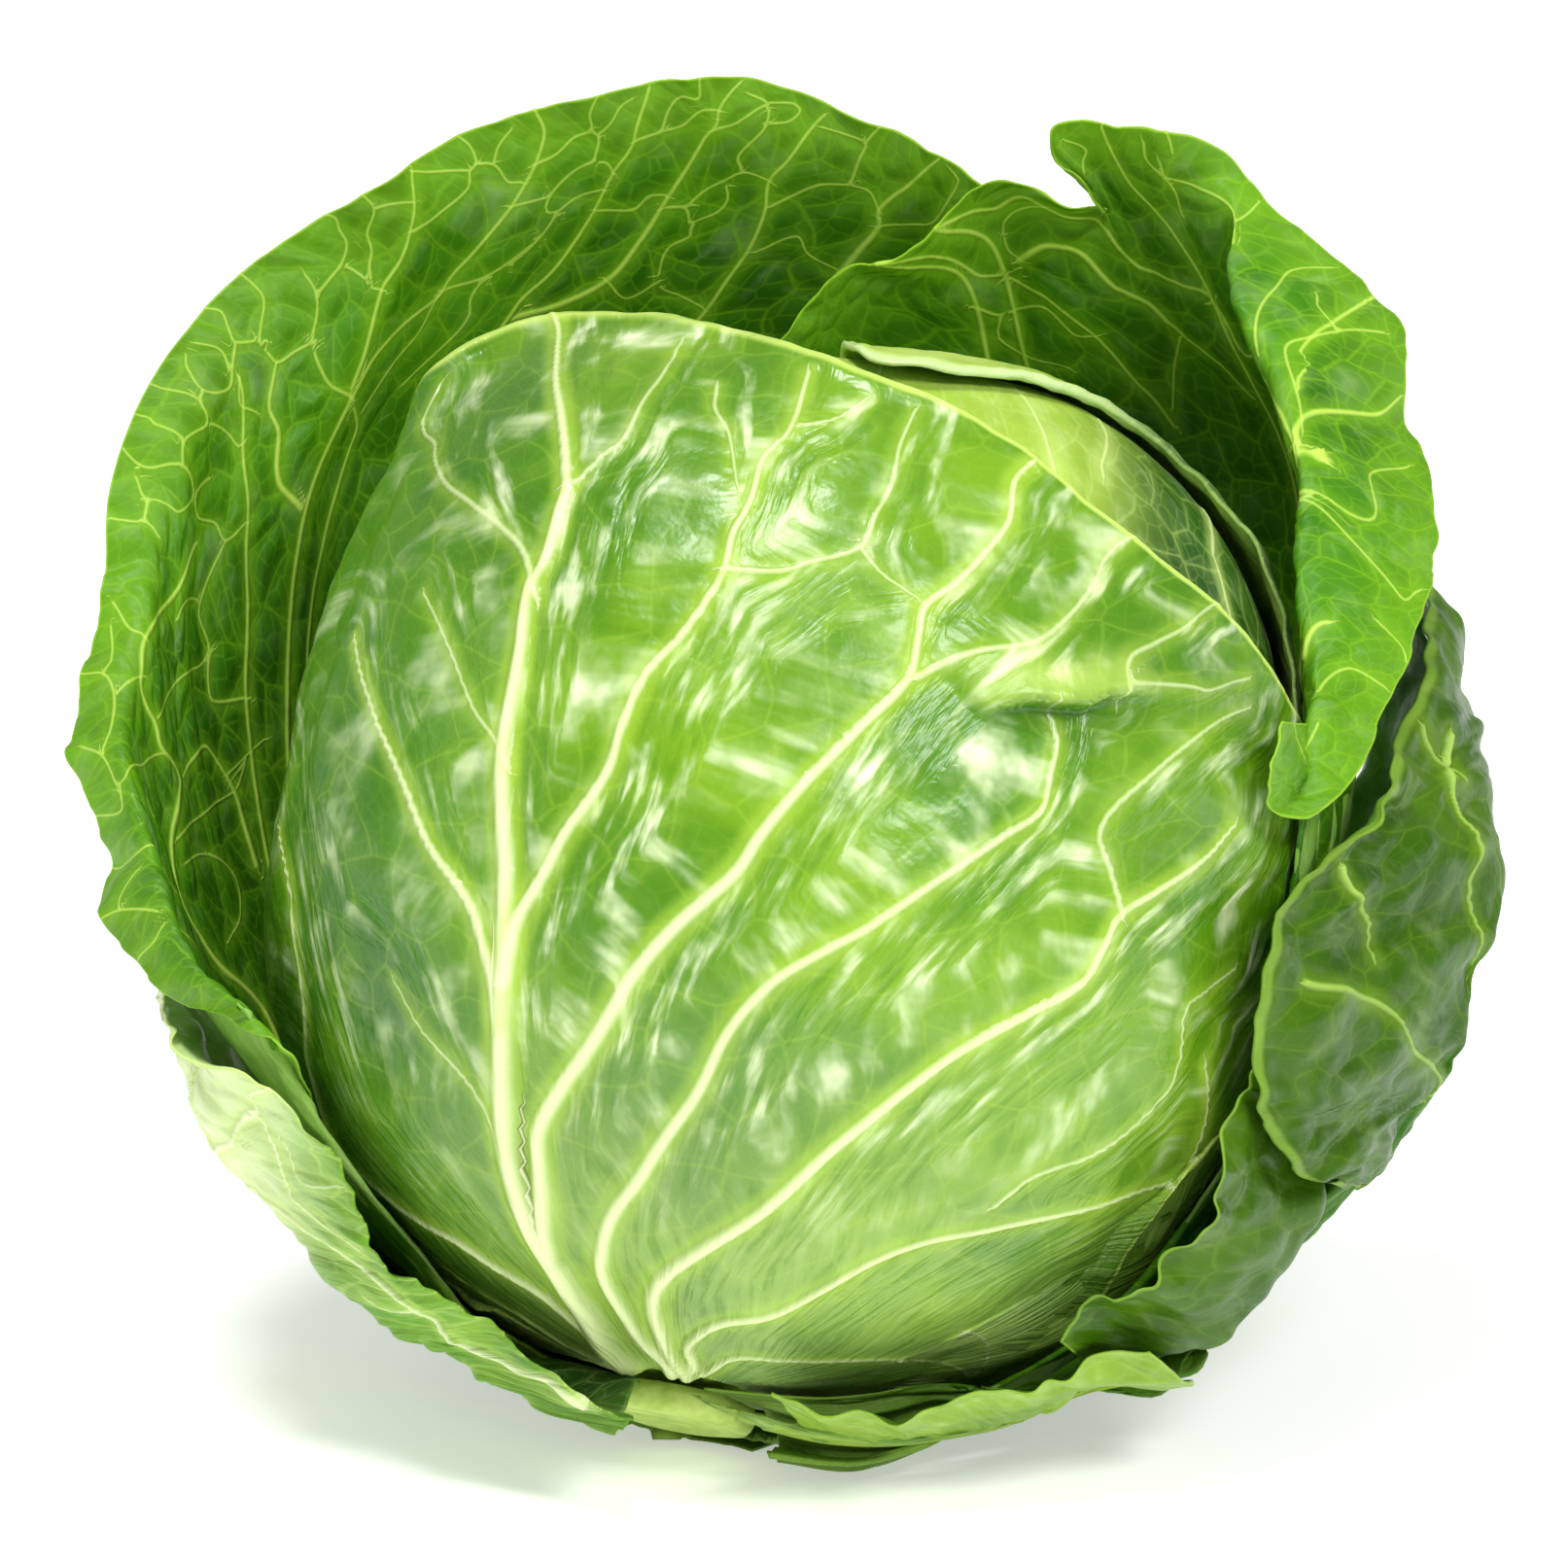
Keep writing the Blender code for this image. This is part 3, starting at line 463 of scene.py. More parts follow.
LEFT_RIBS_PX = [
    (1.8, 0.45, ((269, 1040), (232, 1001), (205, 966), (184, 928), (174, 891), (172, 860), (179, 822),
        (179, 801), (162, 773), (158, 746), (144, 715), (143, 691), (148, 656), (177, 612), (199, 560))),
    (1.1, 0.4, ((360, 447), (357, 408), (369, 366), (390, 300), (408, 270), (418, 240), (424, 210),
        (421, 178))),
    (0.5, 0.3, ((355, 406), (336, 397), (324, 369), (321, 348), (322, 327), (322, 304), (313, 282))),
    (0.4, 0.3, ((322, 304), (339, 285), (352, 273), (354, 252), (349, 237), (343, 225), (333, 219))),
    (0.4, 0.3, ((352, 273), (373, 286), (379, 297), (390, 298))),
    (0.4, 0.3, ((379, 297), (376, 276), (381, 261), (378, 240), (382, 213), (370, 195))),
    (0.35, 0.3, ((382, 213), (402, 208), (420, 211))),
    (0.4, 0.3, ((322, 351), (300, 363), (282, 373), (268, 354), (267, 336), (268, 306), (258, 291),
        (244, 283))),
    (0.9, 0.35, ((304, 520), (286, 501), (282, 477), (285, 441), (276, 417), (277, 390), (282, 373))),
    (0.4, 0.3, ((268, 352), (240, 352), (234, 342), (226, 324), (210, 318))),
    (0.4, 0.3, ((240, 352), (234, 378), (231, 399), (204, 403), (189, 384), (187, 369))),
    (0.35, 0.3, ((231, 381), (222, 363), (201, 354))),
    (0.4, 0.3, ((204, 403), (202, 414), (208, 438), (187, 454), (186, 480))),
    (0.35, 0.3, ((208, 438), (234, 448), (243, 459), (249, 453))),
    (0.4, 0.3, ((187, 454), (159, 438), (151, 432), (139, 429))),
    (0.35, 0.3, ((202, 414), (170, 404), (154, 399))),
    (0.4, 0.3, ((186, 481), (153, 480), (126, 466))),
    (0.45, 0.3, ((186, 481), (198, 504), (202, 534), (219, 540), (228, 558), (249, 537))),
    (1.1, 0.4, ((249, 712), (249, 674), (251, 629), (250, 594), (249, 560), (252, 522), (249, 480),
        (247, 450), (243, 390))),
    (0.35, 0.3, ((243, 390), (246, 414), (261, 423))),
    (0.4, 0.3, ((210, 492), (184, 525), (151, 514), (138, 492))),
    (0.4, 0.3, ((151, 514), (144, 537), (114, 538))),
    (0.35, 0.3, ((144, 537), (162, 553))),
    (1.1, 0.4, ((375, 375), (411, 333), (445, 306), (462, 285), (486, 258), (519, 219), (537, 192),
        (553, 165), (558, 135), (549, 114))),
    (0.5, 0.3, ((367, 423), (402, 372), (426, 342), (445, 306))),
    (0.4, 0.3, ((423, 240), (450, 222), (477, 195), (483, 177), (490, 168), (483, 150), (469, 141))),
    (0.35, 0.3, ((483, 177), (441, 175), (420, 177))),
    (0.4, 0.3, ((490, 169), (505, 171), (519, 186), (534, 190))),
    (0.35, 0.3, ((505, 171), (513, 150), (525, 135))),
    (0.4, 0.3, ((450, 300), (495, 286), (552, 246))),
    (0.35, 0.3, ((495, 286), (483, 306), (481, 324), (465, 342), (408, 396))),
    (0.4, 0.3, ((550, 171), (570, 160), (590, 143), (608, 133), (606, 119), (611, 104), (612, 93))),
    (0.4, 0.3, ((608, 133), (614, 141), (612, 165), (623, 169), (628, 180))),
    (0.35, 0.3, ((614, 140), (629, 124), (639, 110), (647, 102))),
    (0.35, 0.3, ((612, 165), (586, 179), (562, 201), (561, 216), (568, 221), (551, 244), (520, 269))),
    (0.35, 0.3, ((568, 221), (595, 204), (617, 196))),
    (0.35, 0.3, ((520, 213), (562, 201))),
    (1.1, 0.4, ((520, 329), (532, 307), (567, 272), (604, 226), (628, 180), (648, 151), (654, 132),
        (665, 101), (667, 94))),
    (0.4, 0.3, ((653, 147), (678, 138), (698, 130), (717, 113), (736, 112))),
    (0.35, 0.3, ((678, 138), (684, 116), (698, 99), (714, 99), (717, 79))),
    (0.9, 0.35, ((526, 323), (573, 310), (620, 290), (654, 244), (683, 207), (701, 179), (723, 144),
        (734, 129), (736, 112), (751, 94), (759, 85))),
    (0.4, 0.3, ((734, 132), (756, 127), (789, 108))),
    (0.35, 0.3, ((683, 201), (667, 202), (648, 213), (614, 216))),
    (0.4, 0.3, ((683, 212), (701, 212), (708, 229), (706, 240), (686, 257), (676, 282), (679, 291),
        (701, 302), (720, 318))),
    (0.35, 0.3, ((620, 290), (639, 304), (676, 290))),
    (0.4, 0.3, ((701, 212), (723, 198), (745, 188), (762, 179), (789, 185))),
    (0.35, 0.3, ((745, 188), (745, 207), (737, 219), (711, 230))),
    (0.4, 0.3, ((762, 179), (758, 160), (786, 130), (789, 108), (770, 96))),
    (0.35, 0.3, ((786, 127), (811, 126), (823, 116), (815, 107), (792, 107))),
    (1.1, 0.4, ((720, 319), (745, 285), (770, 254), (786, 216), (789, 185), (811, 160), (845, 119))),
    (0.4, 0.3, ((792, 210), (817, 199), (845, 188), (875, 188))),
    (0.4, 0.3, ((875, 188), (883, 163), (889, 146), (867, 135), (845, 132))),
    (0.35, 0.3, ((889, 146), (904, 130))),
    (0.35, 0.3, ((875, 188), (892, 198), (904, 215))),
    (0.9, 0.35, ((861, 287), (883, 254), (901, 235), (904, 215), (933, 191), (964, 163))),
    (0.35, 0.3, ((903, 235), (933, 230), (958, 229), (970, 210), (984, 185), (976, 173))),
    (0.35, 0.3, ((776, 257), (817, 244), (829, 263), (864, 276))),
    (0.5, 0.3, ((249, 720), (215, 722), (212, 698), (212, 667), (201, 636), (201, 619), (224, 567))),
    (0.35, 0.3, ((201, 619), (189, 622), (182, 636))),
    (0.35, 0.3, ((148, 656), (134, 646), (117, 624))),
    (0.35, 0.3, ((162, 777), (141, 789), (121, 804), (106, 777), (84, 770))),
    (0.4, 0.3, ((106, 777), (113, 749), (117, 720), (108, 699), (84, 699))),
    (0.35, 0.3, ((117, 720), (143, 696))),
    (0.35, 0.3, ((108, 699), (115, 681), (113, 646))),
    (0.35, 0.3, ((121, 804), (124, 832), (98, 839))),
    (0.4, 0.3, ((179, 863), (208, 839), (237, 817), (251, 790))),
    (0.9, 0.35, ((258, 891), (251, 853), (237, 815), (217, 780), (206, 768), (184, 801))),
    (0.35, 0.3, ((230, 798), (270, 763))),
    (0.35, 0.3, ((160, 739), (181, 698), (201, 687), (212, 670))),
    (0.4, 0.3, ((212, 880), (239, 904), (244, 942), (232, 970))),
    (0.35, 0.3, ((212, 880), (187, 891))),
    (0.35, 0.3, ((153, 873), (129, 887), (108, 891))),
    (0.35, 0.3, ((163, 939), (129, 939), (115, 944))),
    (0.35, 0.3, ((141, 899), (127, 925), (129, 939))),
    (0.35, 0.3, ((168, 956), (158, 973), (143, 987))),
]
RIGHT_RIBS_PX = [
    (1.2, 0.4, ((900, 262), (945, 262), (1000, 280), (1043, 285), (1081, 311), (1124, 344), (1158, 378),
        (1187, 411), (1206, 435))),
    (1.1, 0.4, ((960, 235), (1022, 213), (1053, 203), (1072, 213), (1120, 227), (1153, 258), (1191, 282),
        (1239, 299), (1261, 321), (1287, 364), (1316, 421), (1333, 464))),
    (1.1, 0.4, ((1249, 306), (1220, 258), (1191, 220), (1167, 191), (1148, 158), (1132, 127))),
    (0.35, 0.3, ((1110, 175), (1115, 153), (1098, 143))),
    (0.45, 0.3, ((1266, 249), (1201, 182), (1191, 163))),
    (0.35, 0.3, ((1199, 129), (1206, 153))),
    (0.35, 0.3, ((1177, 143), (1182, 163), (1206, 196), (1215, 220))),
    (0.9, 0.35, ((1048, 268), (1077, 254), (1105, 258), (1139, 292), (1177, 311), (1206, 335), (1220, 349),
        (1254, 373), (1287, 402), (1316, 435), (1330, 464))),
    (0.4, 0.3, ((1213, 349), (1208, 378), (1206, 421))),
    (0.35, 0.3, ((1031, 239), (1033, 225), (1072, 213))),
    (0.35, 0.3, ((1031, 239), (1036, 254), (1050, 268))),
    (0.5, 0.3, ((1000, 316), (1026, 320), (1072, 316), (1105, 340), (1129, 349))),
    (0.35, 0.3, ((1026, 320), (1026, 344), (1057, 368), (1096, 378))),
    (0.9, 0.4, ((1335, 478), (1364, 445), (1407, 426), (1440, 409))),
    (0.45, 0.3, ((1337, 445), (1325, 392), (1321, 364), (1344, 349), (1383, 344), (1416, 344))),
    (0.4, 0.3, ((1292, 364), (1292, 330), (1306, 301), (1325, 282), (1368, 277))),
    (0.35, 0.3, ((1349, 311), (1354, 321), (1368, 344))),
    (0.4, 0.3, ((1268, 254), (1273, 225), (1297, 206), (1321, 196))),
    (0.5, 0.3, ((1359, 555), (1383, 531), (1407, 490), (1445, 483))),
    (0.45, 0.3, ((1359, 555), (1378, 588), (1392, 612), (1431, 610), (1455, 612))),
    (0.9, 0.5, ((1342, 675), (1364, 641), (1392, 612))),
    (0.4, 0.3, ((1416, 641), (1435, 660), (1440, 684))),
    (0.4, 0.3, ((1354, 713), (1383, 689), (1421, 708))),
    (0.35, 0.3, ((1325, 742), (1335, 780))),
    (0.35, 0.3, ((1354, 746), (1368, 780))),
]
RIGHT_LOW_RIBS_PX = [
    (1.3, 0.5, ((1330, 835), (1344, 850), (1375, 895), (1407, 941), (1418, 981))),
    (0.9, 0.4, ((1431, 727), (1459, 751), (1488, 789), (1500, 804))),
    (0.5, 0.3, ((1392, 799), (1402, 856))),
    (1.3, 0.5, ((1490, 760), (1507, 850), (1509, 918), (1518, 1009))),
    (1.0, 0.4, ((1340, 1010), (1380, 1018), (1421, 1040), (1448, 1081), (1466, 1131))),
]
LOWER_LEFT_RIBS_PX = [
    (1.1, 0.5, ((195, 1042), (201, 1095), (217, 1180), (240, 1176), (246, 1156), (260, 1148), (262, 1123),
        (280, 1113))),
    (0.9, 0.4, ((246, 1156), (260, 1148), (289, 1189), (305, 1229), (311, 1254), (342, 1262), (370, 1282))),
    (0.45, 0.3, ((289, 1172), (313, 1213), (350, 1221))),
    (0.5, 0.3, ((195, 1046), (223, 1040), (231, 1033))),
    (1.3, 0.5, ((600, 1440), (540, 1410), (480, 1385), (430, 1345), (390, 1318), (350, 1290), (320, 1262))),
    (0.6, 0.35, ((540, 1410), (520, 1425), (505, 1420))),
    (0.6, 0.35, ((430, 1345), (405, 1345), (380, 1330))),
]
HEART_RIBS_PX = [
    (1.0, 0.5, ((1222, 455), (1230, 483), (1239, 521), (1246, 565), (1254, 598), (1262, 640))),
    (0.6, 0.4, ((1129, 431), (1134, 474), (1132, 493))),
]

# A crumpled fold across the front leaf; its half width falls from 1 to 0, so it tells the way along the fold
FOLD_PX = (1.0, 0.0, ((1004, 738), (1028, 730), (1062, 719), (1084, 722), (1108, 724), (1130, 718),
                      (1160, 714), (1192, 718)))
# In millimetres: how far the leaf rises above the fold, sinks below it and hangs over it, how wide the step
# is, and how far each of these and the painted shade reach; the light has its middle and its reach
FOLD_LIFT = 4.2
FOLD_DIP = 1.4
FOLD_HANG = 1.3
FOLD_STEP = 0.45
LIFT_REACH = 19.0
DIP_REACH = 10.0
HANG_REACH = 4.0
SHADE_REACH = 2.6
FOLD_LIGHT = (3.4, 3.0)

# What each leaf adds to its CAD form. fine: columns and levels of the fine grid. facing: 1 where the
# photograph shows the ribs on the inner face. grow: pairs of side ribs made by formula. frill, bulge,
# crumple: how much the margin waves, the blade swells between the veins, and the whole creases. rim,
# rim_width: how much and how wide the margin is thickened. roll: where along the margin it is thickest, and
# over what share of it
PLAIN_LOOK = dict(ribs=(), facing=-1, grow=0, rim=0.0, rim_width=0.9, roll=(0.5, 10.0))
LOOKS = {
    "cover_leaf_rolled": dict(fine=(230, 130), grow=7, frill=0.35, bulge=0.10, crumple=0.3, rim=0.7,
                              rim_width=2.5, roll=(0.40, 0.16), kind="pale"),
    "cover_leaf_front": dict(fine=(400, 210), ribs=FRONT_RIBS_PX, frill=0.25, bulge=0.06, crumple=0.45,
                             rim=1.0, rim_width=1.6, roll=(0.40, 0.09), kind="front"),
    "wrapper_right": dict(fine=(400, 180), ribs=RIGHT_RIBS_PX, facing=1, frill=0.9, bulge=0.28, crumple=0.25,
                          kind="dark"),
    "wrapper_left": dict(fine=(440, 190), ribs=LEFT_RIBS_PX, facing=1, frill=0.9, bulge=0.26, crumple=0.15,
                         kind="dark"),
    "leaf_lower_right": dict(fine=(190, 130), frill=0.9, bulge=0.15, crumple=1.7, rim=0.05, kind="blue"),
    "leaf_lower_left": dict(fine=(250, 120), ribs=LOWER_LEFT_RIBS_PX, frill=0.8, bulge=0.3, crumple=0.9,
                            rim=0.10, kind="white"),
    "leaf_bottom": dict(fine=(190, 120), frill=0.8, bulge=0.15, crumple=1.3, rim=0.05, kind="mid"),
    "wrapper_right_low": dict(fine=(270, 160), ribs=RIGHT_LOW_RIBS_PX, frill=0.7, bulge=0.2, crumple=1.6,
                              rim=0.45, rim_width=2.0, kind="blue"),
    "wrapper_back": dict(fine=(270, 150), grow=8, frill=0.8, bulge=0.35, crumple=0.6, kind="blue"),
}


# Lines of a fine grid stand closer towards the margin, by this power of the way left to it
MARGIN_DENSITY = 1.3


def evenly(steps, knots, count, density=1.0):
    """Samples of a parameter along a curve whose steps between knots are given, evenly spaced or denser
    towards the end."""
    length = np.concatenate([[0.0], np.cumsum(steps)])
    way = 1.0 - (1.0 - np.linspace(0.0, 1.0, count)) ** density
    return np.interp(way * length[-1], length, knots)


def fine_grid(grid, columns, levels):
    """The control grid read at closely spaced lines, with the parameters of those lines."""
    rim = np.linspace(0.0, 1.0, grid.shape[1])
    climb = np.linspace(0.0, 1.0, grid.shape[0])
    half = grid.shape[0] // 2
    s = evenly(np.linalg.norm(np.diff(grid[half:], axis=1), axis=2).mean(axis=0), rim, columns)
    w = evenly(np.linalg.norm(np.diff(grid, axis=0), axis=2).mean(axis=1), climb, levels, MARGIN_DENSITY)
    wide = np.swapaxes(smooth_rows(np.swapaxes(grid, 0, 1), rim, s), 0, 1)
    return smooth_rows(wide, climb, w), w, s


def run_lengths(grid, axis):
    steps = np.linalg.norm(np.diff(grid, axis=axis), axis=2)
    pad = [(1, 0), (0, 0)] if axis == 0 else [(0, 0), (1, 0)]
    return np.cumsum(np.pad(steps, pad), axis=axis)


def in_picture(points):
    """Where points show in the view, right of and above the head's centre."""
    k = (VIEW_DISTANCE + points @ AWAY) / VIEW_DISTANCE
    return np.stack([(points @ RIGHT) / k, VIEW_AIM + ((points @ UP) - VIEW_AIM) / k], axis=-1)


def from_centre(x, y):
    """A pixel of the photograph as millimetres right of and above the head's centre."""
    return (x - CENTRE_PX[0]) * PIXEL, (CENTRE_PX[1] - y) * PIXEL


def tree_of(points):
    tree = KDTree(len(points))
    for i, p in enumerate(points):
        tree.insert(p, i)
    tree.balance()
    return tree


def read_grid(grid, i, j):
    """Bilinear reading of a grid at fractional rows i and columns j."""
    i = np.clip(i, 0, grid.shape[0] - 1.001)
    j = np.clip(j, 0, grid.shape[1] - 1.001)
    a, b = i.astype(int), j.astype(int)
    u, v = (i - a)[:, None], (j - b)[:, None]
    return ((1 - u) * (1 - v) * grid[a, b] + u * (1 - v) * grid[a + 1, b]
            + (1 - u) * v * grid[a, b + 1] + u * v * grid[a + 1, b + 1])


# A picked point is used where the leaf faces the view by at least this much, where it is this close to the
# leaf's picture, and where the leaf doesn't leap from the point before
FACING_LEAST = 0.02
PICK_REACH = 2.0
LEAP_TIMES = 3.0
LEAP_MORE = 2.0


def picked_ribs(grid, normals, ribs, facing):
    """Routes in grid rows and columns of ribs picked on the photograph."""
    if not ribs:
        return []
    toward = np.sum(normals * AWAY, axis=2) * facing > FACING_LEAST
    shown_rows, shown_columns = np.nonzero(toward)
    tree = tree_of([(x, z, 0.0) for x, z in in_picture(grid)[shown_rows, shown_columns]])
    routes = []
    for start, end, pixels in ribs:
        route = []
        last = None
        for pixel in pixels:
            spot = np.array([*from_centre(*pixel), 0.0])
            _, index, gap = tree.find(spot)
            spot_row, spot_column = shown_rows[index], shown_columns[index]
            place = grid[spot_row, spot_column]
            leap = False
            if last is not None:
                on_leaf = np.linalg.norm(place - last[0])
                on_photo = np.linalg.norm(spot - last[1])
                leap = on_leaf > LEAP_TIMES * on_photo + LEAP_MORE
            if gap < PICK_REACH and not leap:
                route.append((float(spot_row), float(spot_column)))
                last = (place, spot)
        if len(route) > 1:
            routes.append((start, end, route))
    return routes


# A rib that starts high on a leaf is led down to the stem at these shares of its height, and gathered to the
# leaf's middle
LEAD_HEIGHTS = (0.02, 0.2, 0.4, 0.6, 0.8)
LEAD_GATHER = 0.55
LEAD_BEND = 1.6


def to_stem(route, grid):
    """A route that starts high on the leaf, led down to the stem."""
    i, j = route[0]
    middle = (grid.shape[1] - 1) / 2
    foot = middle + (j - middle) * LEAD_GATHER
    return [(i * f, foot + (j - foot) * f ** LEAD_BEND) for f in LEAD_HEIGHTS] + list(route)


# Ribs made by formula. The midrib's, the side ribs' and the forks' half widths are in millimetres, the rest
# are shares of the leaf's height and width and how they change from the lowest rib to the highest
MIDRIB = (2.6, 0.5)
MIDRIB_SHIFT = 0.03
MIDRIB_BEND = 0.02
RIB_TOP = 0.97
SIDE_WIDTH = (1.35, 0.5)
SIDE_END = 0.38
SIDE_SPREAD = (0.2, 0.6)
SIDE_LEAVE = (0.04, 0.62, 1.3)
SIDE_REACH = (0.97, 0.86)
SIDE_TOP = (0.80, 0.2, 0.05)
SIDE_CURVE = (1.15, 0.9)
SIDE_SWAY = 0.008
FORK = (0.6, 0.32)
FORK_FROM = (4, 7)
FORK_TURN = (0.10, 0.18)
FORK_STEPS = (0.35, 0.7, 1.0)
FORK_TOP = 0.98
FORK_RISE = (0.85, 1.0)
FORK_REACH = 0.16


def grown_ribs(grid, w, s, pairs, rng):
    """A midrib and its forking side ribs, from the stem to the margin."""
    levels, columns = grid.shape[:2]

    def spot(height, across):
        return (np.interp(height, w, np.arange(levels)), np.interp(across, s, np.arange(columns)))

    middle = 0.5 + rng.uniform(-MIDRIB_SHIFT, MIDRIB_SHIFT)
    bend = rng.uniform(-MIDRIB_BEND, MIDRIB_BEND)
    routes = [(*MIDRIB, [spot(f, middle + bend * math.sin(4 * f)) for f in np.linspace(0.0, RIB_TOP, 12)])]
    for side in (-1, 1):
        room = middle if side < 0 else 1.0 - middle
        for k in range(pairs):
            f = (k + rng.uniform(*SIDE_SPREAD)) / pairs
            leave = SIDE_LEAVE[0] + SIDE_LEAVE[1] * f ** SIDE_LEAVE[2]
            reach = room * (SIDE_REACH[0] - SIDE_REACH[1] * f)
            top = min(RIB_TOP, SIDE_TOP[0] + SIDE_TOP[1] * f + rng.uniform(-SIDE_TOP[2], SIDE_TOP[2]))
            path = []
            for t in np.linspace(0.0, 1.0, 9):
                across = middle + side * reach * t ** SIDE_CURVE[0] + SIDE_SWAY * math.sin(7 * t + 9 * f)
                path.append((leave + (top - leave) * t ** SIDE_CURVE[1], across))
            routes.append((SIDE_WIDTH[0] - SIDE_WIDTH[1] * f, SIDE_END, [spot(*p) for p in path]))
            for _ in range(2):
                height, across = path[rng.randint(*FORK_FROM)]
                turn = rng.choice((-1, 1)) * room * rng.uniform(*FORK_TURN)
                fork = [(height, across)]
                for t in FORK_STEPS:
                    rise = (FORK_TOP - height) * t * rng.uniform(*FORK_RISE)
                    fork.append((height + rise, across + side * reach * FORK_REACH * t + turn * t))
                routes.append((*FORK, [spot(*p) for p in fork]))
    return routes


# Ribs are read at this spacing in millimetres and thin out by this power of the way along
RIB_STEP = 0.4
RIB_TAPER = 0.8


def rib_samples(grid, normals, route):
    """Closely spaced points along a rib, with its direction and half width at each."""
    start, end, spots = route
    spots = np.array(spots)
    chosen = [0] + [k for k in range(1, len(spots)) if np.abs(spots[k] - spots[k - 1]).sum() > 1e-6]
    spots = spots[chosen]
    if len(spots) < 2:
        return None
    ends = read_grid(grid, spots[:, 0], spots[:, 1])
    steps = np.maximum(np.linalg.norm(np.diff(ends, axis=0), axis=1), 1e-3)
    knots = np.concatenate([[0.0], np.cumsum(steps)])
    count = max(4, int(knots[-1] / RIB_STEP))
    path = smooth_rows(spots, knots, np.linspace(0.0, knots[-1], count))
    points = read_grid(grid, path[:, 0], path[:, 1])
    tangents = np.gradient(points, axis=0)
    tangents /= np.maximum(np.linalg.norm(tangents, axis=1, keepdims=True), 1e-9)
    across = np.cross(read_grid(normals, path[:, 0], path[:, 1]), tangents)
    across /= np.maximum(np.linalg.norm(across, axis=1, keepdims=True), 1e-9)
    share = np.linspace(0.0, 1.0, count) ** RIB_TAPER
    return points, across, tangents, start + (end - start) * share


# What a point reads that has no rib near: distance and half width in millimetres
FAR = 30.0
NO_RIB = 0.3
# A rib's distance counts from this far beyond its end
RIB_END = 0.3


def rib_field(grid, samples):
    """Signed and plain distance to the nearest rib and that rib's half width, at every grid point."""
    flat = grid.reshape(-1, 3)
    out = np.full((len(flat), 3), FAR)
    out[:, 2] = NO_RIB
    if not samples:
        return out
    points, across, tangents, width = (np.concatenate([s[k] for s in samples]) for k in range(4))
    tree = tree_of(points)
    nearest = np.empty(len(flat), int)
    for i, p in enumerate(flat):
        nearest[i] = tree.find(p)[1]
    gap = flat - points[nearest]
    side = np.sum(gap * across[nearest], axis=1)
    beyond = np.maximum(np.abs(np.sum(gap * tangents[nearest], axis=1)) - RIB_END, 0.0)
    plain = np.sqrt(side ** 2 + beyond ** 2)
    out[:, 0] = np.where(side < 0, -1.0, 1.0) * np.minimum(plain, FAR)
    out[:, 1] = np.minimum(plain, FAR)
    out[:, 2] = width[nearest]
    return out


# How far a rib's foot stands out, in its half widths
RIDGE_FOOT = 1.15


def ridge(field):
    """Rounded ridge over a rib, 1 along its middle."""
    t = np.clip(field[:, 1] / (field[:, 2] * RIDGE_FOOT), 0.0, 1.0)
    return (1 - t * t) ** 2


RIPPLE_WAVES = 22
RIPPLE_SPREAD = (0.7, 1.5)


def ripple(plan, rng, wavelength):
    """Soft random waves of about one wavelength over a plan, from -1 to 1."""
    total = np.zeros(plan.shape[:2])
    for _ in range(RIPPLE_WAVES):
        a = rng.uniform(0, 2 * math.pi)
        k = 2 * math.pi / (wavelength * rng.uniform(*RIPPLE_SPREAD))
        phase = rng.uniform(0, 2 * math.pi)
        total += np.sin(k * (plan[..., 0] * math.cos(a) + plan[..., 1] * math.sin(a)) + phase)
    return total / math.sqrt(RIPPLE_WAVES)


def soften(field, rounds):
    for _ in range(rounds):
        pad = np.pad(field, 1, mode="edge")
        field = (pad[:-2, 1:-1] + pad[2:, 1:-1] + pad[1:-1, :-2] + pad[1:-1, 2:] + 2 * field) / 6
    return field


def eased(share):
    """A share from 0 to 1 that starts and ends softly."""
    return share * share * (3 - 2 * share)


# The net of veins is one pattern, read by the relief here and by the materials: the size of its cells and of
# the finer net's, how far its lines are bent and over what length, in millimetres
NET_CELL = 9.5
FINE_CELL = 3.6
NET_WARP = 1.1
WARP_WAVE = 14.0


def net_coordinate(make, source):
    """Adds the nodes that bend the plan of a leaf, so that its net isn't straight."""
    noise = make("ShaderNodeTexNoise", {"Vector": source, "Scale": 1.0 / WARP_WAVE, "Detail": 1.0},
                 noise_dimensions="2D")
    centred = make("ShaderNodeVectorMath", {0: noise.outputs["Color"], 1: (0.5, 0.5, 0.5)},
                   operation="SUBTRACT")
    scaled = make("ShaderNodeVectorMath", {0: centred.outputs[0], "Scale": 4 * NET_WARP}, operation="SCALE")
    return make("ShaderNodeVectorMath", {0: source, 1: scaled.outputs[0]}, operation="ADD").outputs[0]


def net_edge(make, where, cell):
    """Distance to the nearest line of a net, in millimetres."""
    voronoi = make("ShaderNodeTexVoronoi", {"Vector": where, "Scale": 1.0 / cell, "Randomness": 1.0},
                   voronoi_dimensions="2D", feature="DISTANCE_TO_EDGE")
    return make("ShaderNodeMath", {0: voronoi.outputs["Distance"], 1: cell}, operation="MULTIPLY").outputs[0]


def maker(tree):
    def make(kind, sockets=None, **settings):
        node = tree.nodes.new(kind)
        for key, value in settings.items():
            setattr(node, key, value)
        for socket, value in (sockets or {}).items():
            if isinstance(value, bpy.types.NodeSocket):
                tree.links.new(value, node.inputs[socket])
            else:
                node.inputs[socket].default_value = value
        return node
    return make


